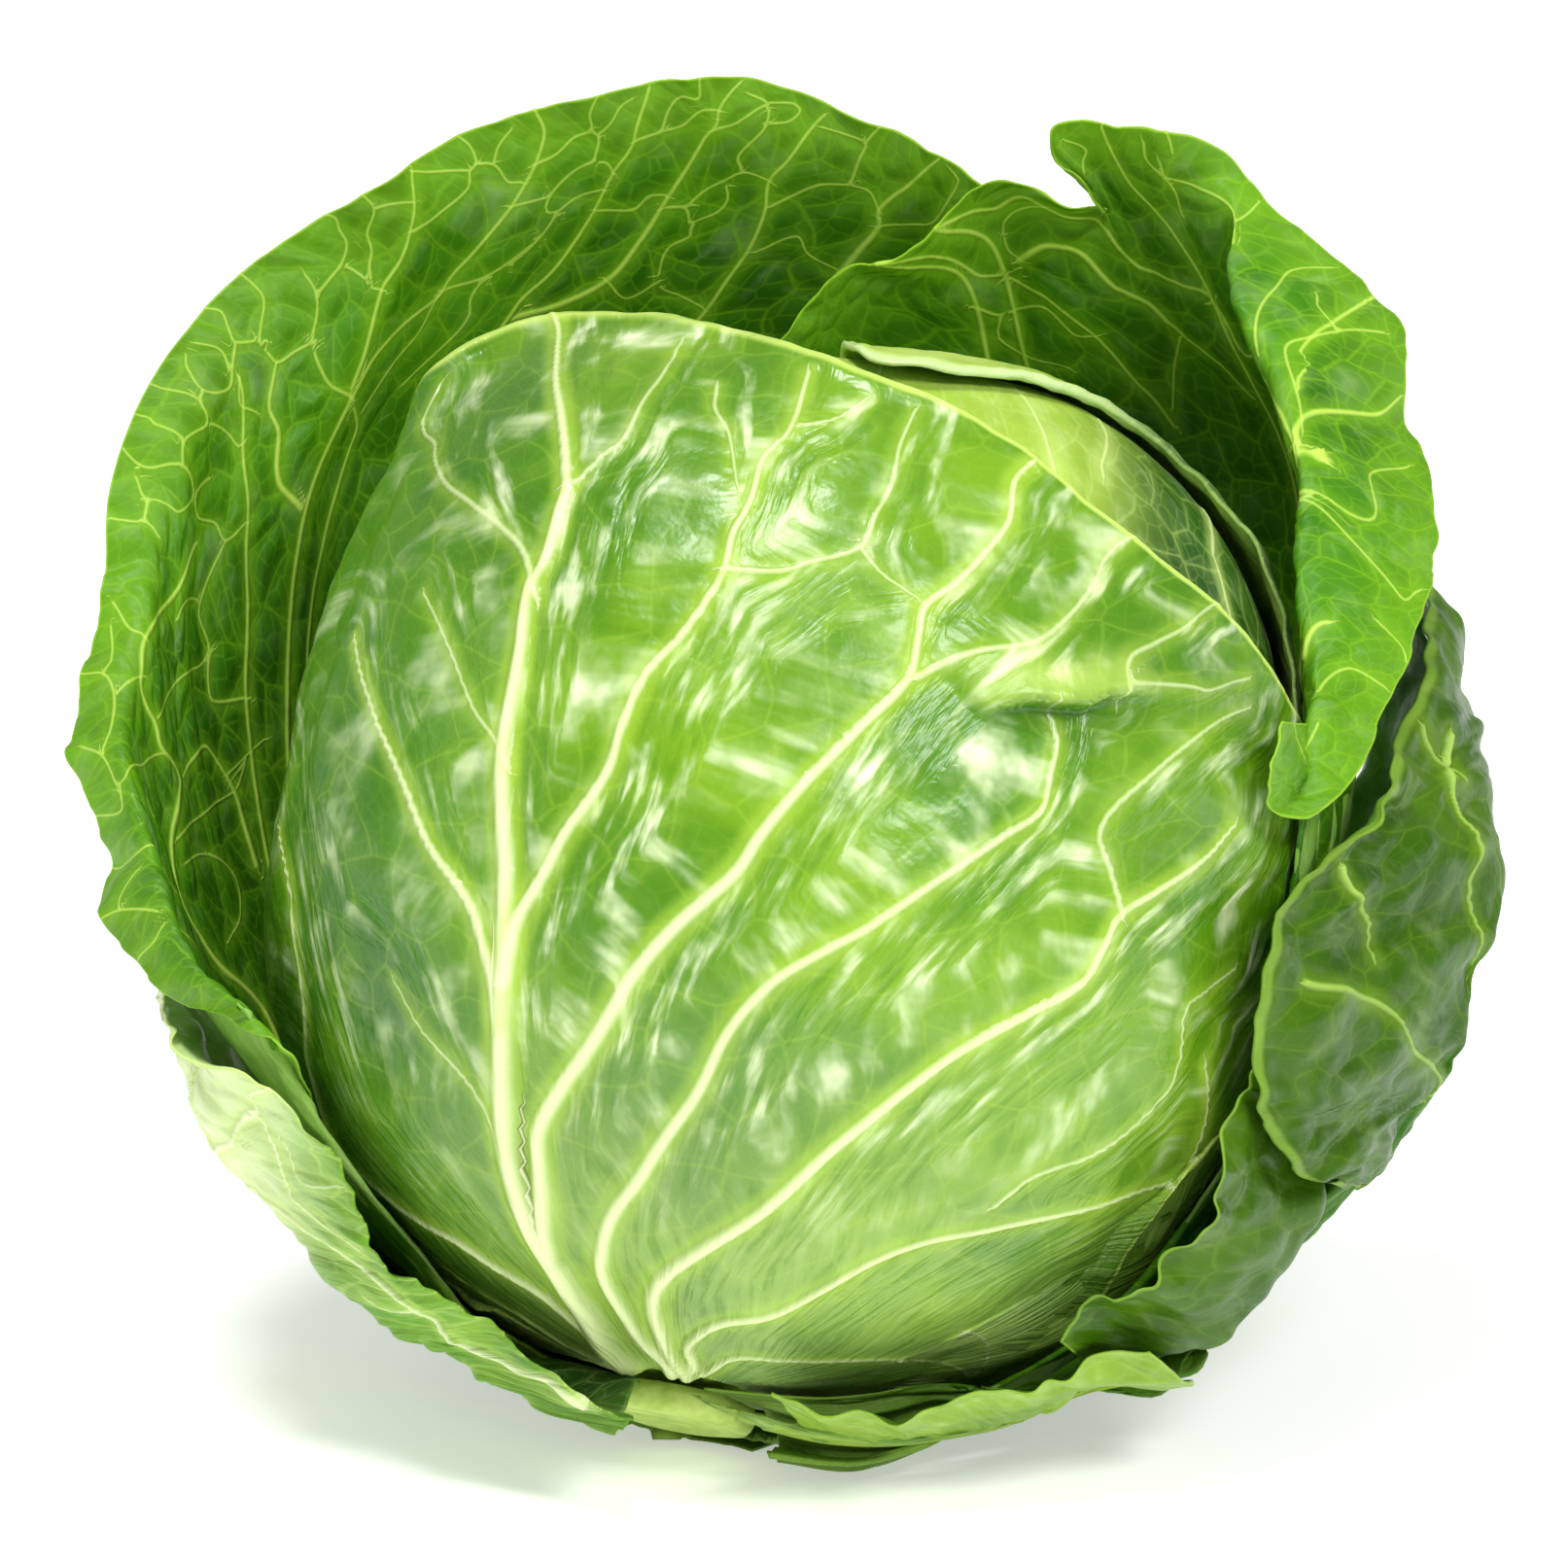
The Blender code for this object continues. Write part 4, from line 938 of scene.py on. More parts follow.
def net_reader():
    """Geometry nodes that store the distance to the net of veins on each point."""
    tree = bpy.data.node_groups.new("net_reader", "GeometryNodeTree")
    tree.interface.new_socket("Geometry", in_out="INPUT", socket_type="NodeSocketGeometry")
    tree.interface.new_socket("Geometry", in_out="OUTPUT", socket_type="NodeSocketGeometry")
    make = maker(tree)
    inside = make("NodeGroupInput")
    position = make("GeometryNodeInputPosition")
    where = net_coordinate(make, position.outputs[0])
    store = make("GeometryNodeStoreNamedAttribute",
                 {"Geometry": inside.outputs[0], "Name": "net", "Value": net_edge(make, where, NET_CELL)},
                 data_type="FLOAT", domain="POINT")
    make("NodeGroupOutput", {0: store.outputs[0]})
    return tree


def net_distances(plan, reader):
    """Distance to the net of veins at every point of a plan."""
    mesh = bpy.data.meshes.new("plan")
    flat = plan.reshape(-1, 2)
    mesh.vertices.add(len(flat))
    mesh.vertices.foreach_set("co", np.pad(flat, [(0, 0), (0, 1)]).astype(np.float32).ravel())
    holder = bpy.data.objects.new("plan", mesh)
    bpy.context.scene.collection.objects.link(holder)
    holder.modifiers.new("net", "NODES").node_group = reader
    shaped = holder.evaluated_get(bpy.context.evaluated_depsgraph_get()).data
    values = np.empty(len(flat), np.float32)
    shaped.attributes["net"].data.foreach_get("value", values)
    bpy.data.objects.remove(holder, do_unlink=True)
    bpy.data.meshes.remove(mesh)
    return values.reshape(plan.shape[:2]).astype(float)


# The crown sinks behind the front leaf's rim about a direction, by this depth, fading between these degrees
DIP_AT = unit(view_vector(9, -6, 86))
DIP_DEPTH = 4.2
DIP_SPREAD = (5.0, 27.0)
# A leaf that stands further off the head than this is drawn in to a share of the rest
HUG_FROM = 1.8
HUG_SHARE = 0.3


def sunk(points):
    """Points moved in towards the head's centre about the dip in its crown."""
    reach = np.linalg.norm(points, axis=-1)
    apart = np.degrees(np.arccos(np.clip(points @ DIP_AT / reach, -1.0, 1.0)))
    share = np.clip((DIP_SPREAD[1] - apart) / (DIP_SPREAD[1] - DIP_SPREAD[0]), 0.0, 1.0)
    return points * (1.0 - DIP_DEPTH * eased(share) / reach)[..., None]


def hugging(points):
    """Points far off the head drawn closer to it."""
    reach = np.linalg.norm(points, axis=-1)
    flat = zip(points.reshape(-1, 3), reach.ravel())
    head = np.array([head_radius(p / r) for p, r in flat]).reshape(reach.shape)
    off = reach - head
    drawn = np.where(off > HUG_FROM, HUG_FROM + (off - HUG_FROM) * HUG_SHARE, off)
    return points * ((head + drawn) / reach)[..., None]


# The lower right wrapper stays above the first line of the photograph, from LOW_FROM to LOW_FULL right of the
# centre on, and the lower left leaf stays right of the second
LOW_PX = ((850, 1489), (895, 1480), (950, 1470), (1018, 1443), (1063, 1425), (1117, 1412), (1190, 1392),
          (1244, 1385), (1276, 1357), (1303, 1335), (1344, 1280))
LOW_SHARE = 0.85
LOW_MOST = 9.0
LOW_FROM = 10.0
LOW_FULL = 30.0
BOUND_PX = ((239, 1223), (217, 1183), (203, 1143), (188, 1106), (174, 1055), (159, 1005))


def held_in(points):
    """Points that show left of the bound, moved right to it."""
    shown = in_picture(points)
    limits, heights = zip(*(from_centre(x, y) for x, y in BOUND_PX))
    limit = np.interp(shown[..., 1], heights, limits)
    return points + RIGHT * np.maximum(limit - shown[..., 0], 0.0)[..., None]


def held_up(points):
    """Points that show below the low line, moved up towards it."""
    shown = in_picture(points)
    limit = np.interp(shown[..., 0], *zip(*(from_centre(x, y) for x, y in LOW_PX)))
    short = np.clip((limit - shown[..., 1]) * LOW_SHARE, 0.0, LOW_MOST)
    share = np.clip((shown[..., 0] - LOW_FROM) / (LOW_FULL - LOW_FROM), 0.0, 1.0)
    return points + UP * (short * share)[..., None]


def grid_quads(levels, columns):
    index = np.arange(levels * columns).reshape(levels, columns)
    quads = np.stack([index[:-1, :-1], index[:-1, 1:], index[1:, 1:], index[1:, :-1]], axis=-1)
    return quads.reshape(-1, 4)


def closed_blade(levels, columns):
    """Quads of both faces of a blade and of its edge."""
    face = grid_quads(levels, columns)
    count = levels * columns
    index = np.arange(count).reshape(levels, columns)
    rim = np.concatenate([index[0, :], index[1:, -1], index[-1, -2::-1], index[-2:0:-1, 0]])
    following = np.roll(rim, -1)
    edge = np.stack([following, rim, rim + count, following + count], axis=-1)
    return np.concatenate([face, face[:, ::-1] + count, edge])


def add_mesh(name, points, quads, attributes, material):
    """A smooth object from points in millimetres about the head's centre."""
    a, b, c, d = (points[quads[:, k]] for k in range(4))
    volume = np.sum(np.cross(a, b) * c) + np.sum(np.cross(a, c) * d)
    if volume < 0:
        quads = quads[:, ::-1]
    mesh = bpy.data.meshes.new(name)
    mesh.vertices.add(len(points))
    mesh.vertices.foreach_set("co", ((points + HEAD_CENTRE) * MM).astype(np.float32).ravel())
    mesh.loops.add(quads.size)
    mesh.loops.foreach_set("vertex_index", quads.ravel().astype(np.int32))
    mesh.polygons.add(len(quads))
    mesh.polygons.foreach_set("loop_start", np.arange(0, quads.size, 4, dtype=np.int32))
    mesh.update(calc_edges=True)
    mesh.validate()
    mesh.shade_smooth()
    for key, values in attributes.items():
        values = np.asarray(values, np.float32)
        if values.ndim == 2:
            mesh.attributes.new(key, "FLOAT_VECTOR", "POINT").data.foreach_set("vector", values.ravel())
        else:
            mesh.attributes.new(key, "FLOAT", "POINT").data.foreach_set("value", values)
    mesh.materials.append(material)
    piece = bpy.data.objects.new(name, mesh)
    bpy.context.scene.collection.objects.link(piece)
    return piece


# Colours are linear. inner, outer: a face's deep, middle and light green. turned: the outer face's greens
# over turns, which are (from, to, share) in millimetres right of the centre: painted shade on the front
# leaf's sides and on the right of the pale leaves, in the wrapper's shadow, and the white leaf's own greener
# part.
# alike: where the inner face looks like the outer one. The shares say how much of the net, the fine net and
# the margin shows. tone: how much lighter some cells are. pale, pale_base: the rib's colour at the leaf's
# foot, fading between two heights. glint_and_shade: painted glints and painted shade in the creases.
# lit_margin: painted light along the margin. rough, gloss: the surface. dome, crease: relief in millimetres
PLAIN_KIND = dict(fold=False, lit_margin=0.0, turned=None, turns=(), alike=None)
KINDS = {
    "front": dict(fold=True, inner=((0.14, 0.33, 0.03), (0.26, 0.46, 0.06), (0.42, 0.60, 0.12)),
                  outer=((0.06, 0.20, 0.002), (0.155, 0.33, 0.007), (0.31, 0.50, 0.035)),
                  turned=((0.025, 0.13, 0.001), (0.058, 0.20, 0.002), (0.24, 0.43, 0.03)),
                  turns=((-26.0, -60.0, 1.0), (36.0, 72.0, 0.5)),
                  rib=(0.78, 0.88, 0.46), net=(0.42, 0.63, 0.06), margin=(0.62, 0.80, 0.16),
                  net_share=0.11, fine_share=0.04, margin_share=0.7, tone=0.05, pale=0.15,
                  pale_base=(12.0, 105.0), glint_and_shade=0.95, rough=0.27, gloss=0.42, dome=0.03, crease=0.8),
    "pale": dict(inner=((0.20, 0.40, 0.03), (0.34, 0.54, 0.07), (0.50, 0.66, 0.14)),
                 outer=((0.28, 0.45, 0.03), (0.42, 0.60, 0.08), (0.58, 0.72, 0.18)),
                 turned=((0.006, 0.05, 0.001), (0.020, 0.10, 0.002), (0.05, 0.17, 0.006)),
                 turns=((40.0, 60.0, 1.0),),
                 rib=(0.68, 0.80, 0.30), net=(0.52, 0.70, 0.18), margin=(0.55, 0.70, 0.34),
                 net_share=0.20, fine_share=0.10, margin_share=0.75, tone=0.12, pale=0.4,
                 pale_base=(20.0, 110.0), glint_and_shade=0.2, rough=0.32, gloss=0.35, dome=0.08, crease=0.4),
    "dark": dict(lit_margin=0.36, inner=((0.016, 0.105, 0.0005), (0.040, 0.185, 0.001), (0.10, 0.31, 0.004)),
                 outer=((0.14, 0.32, 0.04), (0.25, 0.46, 0.08), (0.38, 0.58, 0.16)),
                 rib=(0.62, 0.84, 0.13), net=(0.20, 0.44, 0.012), margin=(0.36, 0.60, 0.03),
                 net_share=0.34, fine_share=0.20, margin_share=0.45, tone=0.30, pale=0.35,
                 pale_base=(10.0, 40.0), glint_and_shade=0.12, rough=0.42, gloss=0.20, dome=0.10, crease=0.2),
    "mid": dict(inner=((0.03, 0.13, 0.003), (0.07, 0.21, 0.006), (0.15, 0.33, 0.02)),
                outer=((0.10, 0.23, 0.002), (0.22, 0.38, 0.007), (0.38, 0.55, 0.025)),
                rib=(0.50, 0.68, 0.16), net=(0.32, 0.52, 0.07), margin=(0.36, 0.56, 0.05),
                net_share=0.20, fine_share=0.12, margin_share=0.4, tone=0.15, pale=0.35,
                pale_base=(5.0, 40.0), glint_and_shade=0.2, rough=0.30, gloss=0.30, dome=0.2, crease=0.6),
    "white": dict(inner=((0.012, 0.08, 0.001), (0.03, 0.14, 0.002), (0.08, 0.22, 0.008)),
                  outer=((0.44, 0.60, 0.20), (0.66, 0.78, 0.38), (0.84, 0.90, 0.62)),
                  turned=((0.04, 0.17, 0.001), (0.10, 0.28, 0.001), (0.26, 0.46, 0.012)),
                  turns=((-84.0, -66.0, 1.0),), alike=(-68.0, -78.0),
                  rib=(0.80, 0.88, 0.52), net=(0.52, 0.72, 0.16), margin=(0.50, 0.72, 0.10),
                  net_share=0.26, fine_share=0.10, margin_share=0.45, tone=0.3, pale=0.2,
                  pale_base=(5.0, 30.0), glint_and_shade=0.1, rough=0.38, gloss=0.22, dome=0.2, crease=0.6),
    "blue": dict(inner=((0.02, 0.10, 0.002), (0.05, 0.17, 0.004), (0.11, 0.27, 0.01)),
                 outer=((0.022, 0.08, 0.001), (0.046, 0.125, 0.002), (0.10, 0.22, 0.008)),
                 rib=(0.34, 0.52, 0.09), net=(0.15, 0.29, 0.015), margin=(0.30, 0.50, 0.06),
                 net_share=0.18, fine_share=0.08, margin_share=0.4, tone=0.10, pale=0.3,
                 pale_base=(5.0, 50.0), glint_and_shade=0.07, rough=0.30, gloss=0.15, dome=0.06, crease=0.5),
}

# Painted glints: broken pale streaks that stand for light caught on the leaves, full above the second height
PAINTED_GLINT = (0.82, 0.91, 0.58)
GLINT_HEIGHTS = (42.0, 80.0, 0.12, 1.0)

# Ribs are drawn in three groups by their half width: (attribute, least half width, glow beside it, strength)
RIB_GROUPS = (("rib_main", 1.85, 0.45, 0.90), ("rib_side", 0.85, 0.38, 0.88), ("rib_fork", 0.0, 0.24, 0.72))

# Sizes in millimetres of the noises that tint and roughen a leaf
BROAD, BLOTCH, GRAIN, PIMPLE = 34.0, 9.0, 1.1, 3.4
# Stretches of a noise, or of a distance in millimetres, with the shares at their ends where not 0 and 1
BROAD_TURN = (0.35, 0.65)
BLOTCH_LIGHT = (0.45, 0.80, 0.0, 0.35)
BLOTCH_BREAK = (0.34, 0.70)
BLOTCH_ROUGH = (0.3, 0.8)
CREASE_LIGHT = (0.46, 0.70)
CREASE_SHADE = (0.34, 0.48, 1.0, 0.0)
LIT_MARGIN = (2.0, 18.0)
INNER_SHADE = (24.0, 62.0, 0.0, 0.45)
NET_HALO = (0.0, 2.6)
NET_LINE = (0.10, 0.42)
NET_DOME = (0.0, 3.4)
FINE_LINE = (0.10, 0.34)
FINE_DOME = (0.0, 1.3)
RIB_NEAR = (0.9, 1.7, 1.0, 0.0)
RIB_LINE = (0.15, 1.10, 1.0, 0.0)
RIB_ROUND = (0.0, 1.25, 1.0, 0.0)
RIB_WIDE = (0.3, 1.4, 0.62, 1.0)
RIB_GLOW = (0.0, 2.6, 1.0, 0.0)
# Shares of an effect: the halo of the net, the painted shade in the creases, the fold's painted light and
# shade, the fine net's domes
HALO_SHARE = 0.30
CREASE_SHADE_SHARE = 0.5
FOLD_LIGHT_SHARE = 0.45
FOLD_SHADE_SHARE = 0.92
FINE_DOME_SHARE = 0.22
# The coloured margin is this wide in millimetres, and wider by the second number where it is thick
MARGIN_BAND = (0.3, 1.5)
MARGIN_FADE = (0.6, 1.4)
# Over the turns the margin keeps this share, with the pale leaves' painted shade and on the white leaf's
# greener part
MARGIN_TURNED = 0.15
# Heights of the bumps in millimetres, with the ribs' as a share of their half width
RIB_BUMP = 0.30
GRAIN_BUMP = 0.05
PIMPLE_BUMP = 0.16
# Blotches are rougher by this, and leaves let through this much light, this deep in millimetres
ROUGHER = 0.16
THROUGH = 0.08
THROUGH_DEPTH = 1.2
THROUGH_RADIUS = (0.6, 1.0, 0.25)


def new_material(name):
    """A node material, with its tree, a maker of nodes in it and its shader."""
    material = bpy.data.materials.new(name)
    material.use_nodes = True
    tree = material.node_tree
    return material, tree, maker(tree), tree.nodes["Principled BSDF"]


def place_in_millimetres(make):
    place = make("ShaderNodeTexCoord").outputs["Object"]
    return make("ShaderNodeVectorMath", {0: place, "Scale": 1 / MM}, operation="SCALE").outputs[0]


def leaf_material(name, look):
    """Two-sided leaf: blotched green between a net of paler veins, pale ribs, bright margin, with painted
    glints and painted shade.
    """
    material, tree, make, shader = new_material(name)

    def attribute(key, output="Fac"):
        return make("ShaderNodeAttribute", attribute_name=key, attribute_type="GEOMETRY").outputs[output]

    def calc(operation, a, b=0.0, clamp=False):
        return make("ShaderNodeMath", {0: a, 1: b}, operation=operation, use_clamp=clamp).outputs[0]

    def times(a, b):
        return calc("MULTIPLY", a, b)

    def stretch(x, low, high, to_low=0.0, to_high=1.0):
        return make("ShaderNodeMapRange",
                    {"Value": x, "From Min": low, "From Max": high, "To Min": to_low, "To Max": to_high},
                    interpolation_type="SMOOTHSTEP").outputs["Result"]

    def rgba(colour):
        return (*colour, 1.0) if isinstance(colour, tuple) else colour

    def mix(share, a, b):
        return make("ShaderNodeMix", {0: share, 6: rgba(a), 7: rgba(b)}, data_type="RGBA").outputs[2]

    def noise(where, size, detail=2.0):
        return make("ShaderNodeTexNoise", {"Vector": where, "Scale": 1.0 / size, "Detail": detail},
                    noise_dimensions="3D").outputs["Fac"]

    side = attribute("side")
    edge = attribute("edge")
    where = net_coordinate(make, attribute("plan", "Vector"))
    net = net_edge(make, where, NET_CELL)
    fine = net_edge(make, where, FINE_CELL)
    place = place_in_millimetres(make)
    right_of_centre, _, above_floor = make("ShaderNodeSeparateXYZ", {0: place}).outputs

    broad = noise(place, BROAD)
    blotch = noise(place, BLOTCH, 3.0)
    crease = noise(attribute("fan", "Vector"), 1.0, 3.0)
    cell = make("ShaderNodeTexVoronoi", {"Vector": where, "Scale": 1.0 / NET_CELL, "Randomness": 1.0},
                voronoi_dimensions="2D", feature="F1").outputs["Color"]
    tone = make("ShaderNodeSeparateColor", {0: cell}).outputs[0]

    def face(colours):
        deep, middle, light = colours
        body = mix(stretch(broad, *BROAD_TURN), deep, middle)
        body = mix(stretch(blotch, *BLOTCH_LIGHT), body, light)
        return mix(times(tone, look["tone"]), body, light)

    outer = face(look["outer"])
    inner = face(look["inner"])
    plain_part = 1.0
    if look["alike"]:
        inner = mix(stretch(right_of_centre, *look["alike"]), inner, outer)
    # Over the turns the outer face takes other greens: painted shade on the front leaf's sides and on the
    # pale leaves' right, in the wrapper's shadow, and the white leaf's own greener part
    for start, end, share in look["turns"]:
        outer = mix(stretch(right_of_centre, start, end, 0.0, share), outer, face(look["turned"]))
        plain_part = times(plain_part, stretch(right_of_centre, start, end, 1.0, 1.0 - share))
    colour = mix(side, inner, outer)
    base = times(stretch(attribute("climb"), *look["pale_base"], 1.0, 0.0), plain_part)
    colour = mix(times(base, look["pale"]), colour, look["rib"])
    # Painted glints: broken pale streaks along the creases, weaker over the turns and on the front leaf
    # mostly high up
    glint_mask = times(stretch(crease, *CREASE_LIGHT), stretch(blotch, *BLOTCH_BREAK))
    glint_share = times(calc("ADD", times(plain_part, 0.5), 0.5), look["glint_and_shade"])
    if look["fold"]:
        glint_share = times(glint_share, stretch(above_floor, *GLINT_HEIGHTS))
    colour = mix(times(glint_mask, glint_share), colour, PAINTED_GLINT)
    # Painted shade in the hollows of the creases, scaled with the glint share
    crease_shade = times(stretch(crease, *CREASE_SHADE), look["glint_and_shade"] * CREASE_SHADE_SHARE)
    colour = mix(crease_shade, colour, look["outer"][0])

    # Painted light along the dark leaves' margins, as where light shines through them, and painted shade on
    # their inner face far from the margin
    if look["lit_margin"]:
        colour = mix(stretch(edge, *LIT_MARGIN, look["lit_margin"], 0.0), colour, look["net"])
        inner_shade = calc("SUBTRACT", stretch(edge, *INNER_SHADE), side, clamp=True)
        colour = mix(inner_shade, colour, look["inner"][0])

    for distance, span, share in ((net, NET_HALO, HALO_SHARE * look["net_share"]),
                                  (fine, FINE_LINE, look["fine_share"]), (net, NET_LINE, look["net_share"])):
        colour = mix(stretch(distance, *span, share, 0.0), colour, look["net"])

    rib_height = None
    for key, _, glow, strength in RIB_GROUPS:
        signed, plain, width = make("ShaderNodeSeparateXYZ", {0: attribute(key, "Vector")}).outputs
        beside = calc("SUBTRACT", plain, width)
        near = stretch(beside, *RIB_NEAR)
        share = calc("DIVIDE", calc("ABSOLUTE", signed), width)
        line = times(times(stretch(share, *RIB_LINE), near), stretch(width, *RIB_WIDE))
        colour = mix(times(stretch(beside, *RIB_GLOW), glow), colour, look["net"])
        colour = mix(times(line, strength), colour, look["rib"])
        height = times(times(stretch(share, *RIB_ROUND), near), width)
        rib_height = height if rib_height is None else calc("MAXIMUM", rib_height, height)

    band = calc("ADD", times(attribute("rolled"), MARGIN_BAND[1]), MARGIN_BAND[0])
    fade_from, fade_to = (times(band, f) for f in MARGIN_FADE)
    rim = stretch(edge, fade_from, fade_to, look["margin_share"], 0.0)
    # The margin colour fades over the turns: with the painted shade on the pale leaves, and on the white
    # leaf's greener part
    if look["turned"] and not look["fold"]:
        rim = times(rim, calc("ADD", times(plain_part, 1.0 - MARGIN_TURNED), MARGIN_TURNED))
    colour = mix(rim, colour, look["margin"])
    if look["fold"]:
        colour = mix(times(attribute("fold_light"), FOLD_LIGHT_SHARE), colour, look["margin"])
        colour = mix(times(attribute("fold_shade"), FOLD_SHADE_SHARE), colour, look["turned"][0])
    tree.links.new(colour, shader.inputs["Base Color"])

    total = times(rib_height, RIB_BUMP)
    for bump_height in (stretch(net, *NET_DOME, 0.0, look["dome"]),
                        stretch(fine, *FINE_DOME, 0.0, look["dome"] * FINE_DOME_SHARE),
                        times(crease, look["crease"]), times(noise(place, GRAIN), GRAIN_BUMP),
                        times(noise(place, PIMPLE), PIMPLE_BUMP)):
        total = calc("ADD", total, bump_height)
    bump = make("ShaderNodeBump", {"Height": total, "Distance": MM, "Strength": 1.0})
    tree.links.new(bump.outputs[0], shader.inputs["Normal"])
    rough = stretch(blotch, *BLOTCH_ROUGH, look["rough"], look["rough"] + ROUGHER)
    tree.links.new(rough, shader.inputs["Roughness"])
    shader.inputs["Specular IOR Level"].default_value = look["gloss"]
    shader.inputs["Subsurface Weight"].default_value = THROUGH
    shader.inputs["Subsurface Radius"].default_value = THROUGH_RADIUS
    shader.inputs["Subsurface Scale"].default_value = THROUGH_DEPTH * MM
    return material


# A photographed rib of an open leaf is led down to the stem where it starts above this share of the lines and
# is at least this wide
HIGH_START = 0.25
LEAD_WIDTH = 1.0


def leaf_routes(look, grid, normals, w, s, rng):
    """A leaf's ribs, those of the photograph and else grown ones."""
    routes = []
    for start, end, route in picked_ribs(grid, normals, look["ribs"], look["facing"]):
        if look["facing"] > 0 and route[0][0] > HIGH_START * len(w) and start > LEAD_WIDTH:
            route = to_stem(route, grid)
        routes.append((start, end, route))
    if look["grow"]:
        routes += grown_ribs(grid, w, s, look["grow"], rng)
    return routes


def rib_fields(grid, normals, routes):
    """Distances to the main, side and fork ribs."""
    groups = {key: [] for key, *_ in RIB_GROUPS}
    for route in routes:
        sample = rib_samples(grid, normals, route)
        if sample is not None:
            groups[next(key for key, least, *_ in RIB_GROUPS if route[0] >= least)].append(sample)
    return {key: rib_field(grid, samples) for key, samples in groups.items()}


# Waves along a margin: (length in millimetres, share), and how their spacing drifts
FRILL_WAVES = ((31.0, 0.55), (17.0, 0.5), (9.0, 0.3))
FRILL_BEND = 0.35
FRILL_DRIFT = 2.3
# How far from the margin the waves reach in, in millimetres
FRILL_REACH = 22.0


def margin_frill(s, rim_length, rng):
    frill = np.zeros(len(s))
    for wave_length, share in FRILL_WAVES:
        count = rim_length / wave_length
        bend = FRILL_BEND * np.sin(2 * math.pi * (FRILL_DRIFT * s + rng.random()))
        frill += share * np.sin(2 * math.pi * (count * s + bend + rng.random()))
    return frill


def front_fold(grid, normals):
    """How the crumpled fold moves the front leaf, and the shares of its painted shade and light."""
    fold = rib_field(grid, [rib_samples(grid, normals, r) for r in picked_ribs(grid, normals, [FOLD_PX], -1)])
    gap = fold[:, 1]
    above = 0.5 * (1 + np.tanh(fold[:, 0] / FOLD_STEP))
    along = np.sin(math.pi * np.clip(1.0 - fold[:, 2], 0.0, 1.0)) ** 0.8
    lift = above * np.clip(1 - gap / LIFT_REACH, 0.0, 1.0) ** 2 * FOLD_LIFT
    lift -= (1 - above) * np.clip(1 - gap / DIP_REACH, 0.0, 1.0) ** 2 * FOLD_DIP
    hang = along * above * np.exp(-(gap / HANG_REACH) ** 2) * FOLD_HANG
    shade = along * (1 - above) * np.exp(-(gap / SHADE_REACH) ** 2)
    light = along * above * np.exp(-((gap - FOLD_LIGHT[0]) / FOLD_LIGHT[1]) ** 2)
    shape = (*grid.shape[:2], 1)
    return normals * (along * lift).reshape(shape) - UP * hang.reshape(shape), shade, light


# In millimetres: the room kept between leaves, the furthest push, the swell's width beside a vein, how much
# closer it comes to a rib, and the width over which the blade thins out at its edge
CLEAR = 0.2
PUSH_MOST = 6.0
SWELL_WIDTH = 3.6
RIB_ROOM = 0.4
EDGE_TAPER = 6.0
# Long sway and short creases of a blade: (wavelength in millimetres, share)
SWAY = (42.0, 0.35)
CREASES = ((23.0, 1.0), (10.0, 0.4), (5.0, 0.12))
CREASE_LIFT = 0.5
# How far a rib stands out on the outer and the inner face, in its half widths and as a share of that
RIB_LIFT = 0.75
INNER_LIFT = 0.22
# A leaf's plan is its own, moved apart from the others' by this many millimetres for each step of its seed
PLAN_STEP = 60.0
# Millimetres of the leaf for one turn of the crease noise, at the stem, beside a rib and along the leaf
FAN = (27.0, 4.5, 13.0)


def kept_outside(middle, half, inside):
    """A blade pushed out where it would come closer than CLEAR to what is inside it."""
    lack = np.zeros(half.shape)
    for i, j in np.ndindex(half.shape):
        p = middle[i, j]
        r = math.sqrt(p[0] * p[0] + p[1] * p[1] + p[2] * p[2])
        hit = inside.ray_cast(Vector(p * (OUTSIDE / r)), Vector(-p))[0]
        if hit is not None:
            lack[i, j] = max(0.0, hit.length + half[i, j] + CLEAR - r)
    lack = np.minimum(np.maximum(lack, soften(lack, 8)), PUSH_MOST)
    return moved_out(middle, soften(lack, 3))


def twice(values):
    return np.concatenate([values, values])


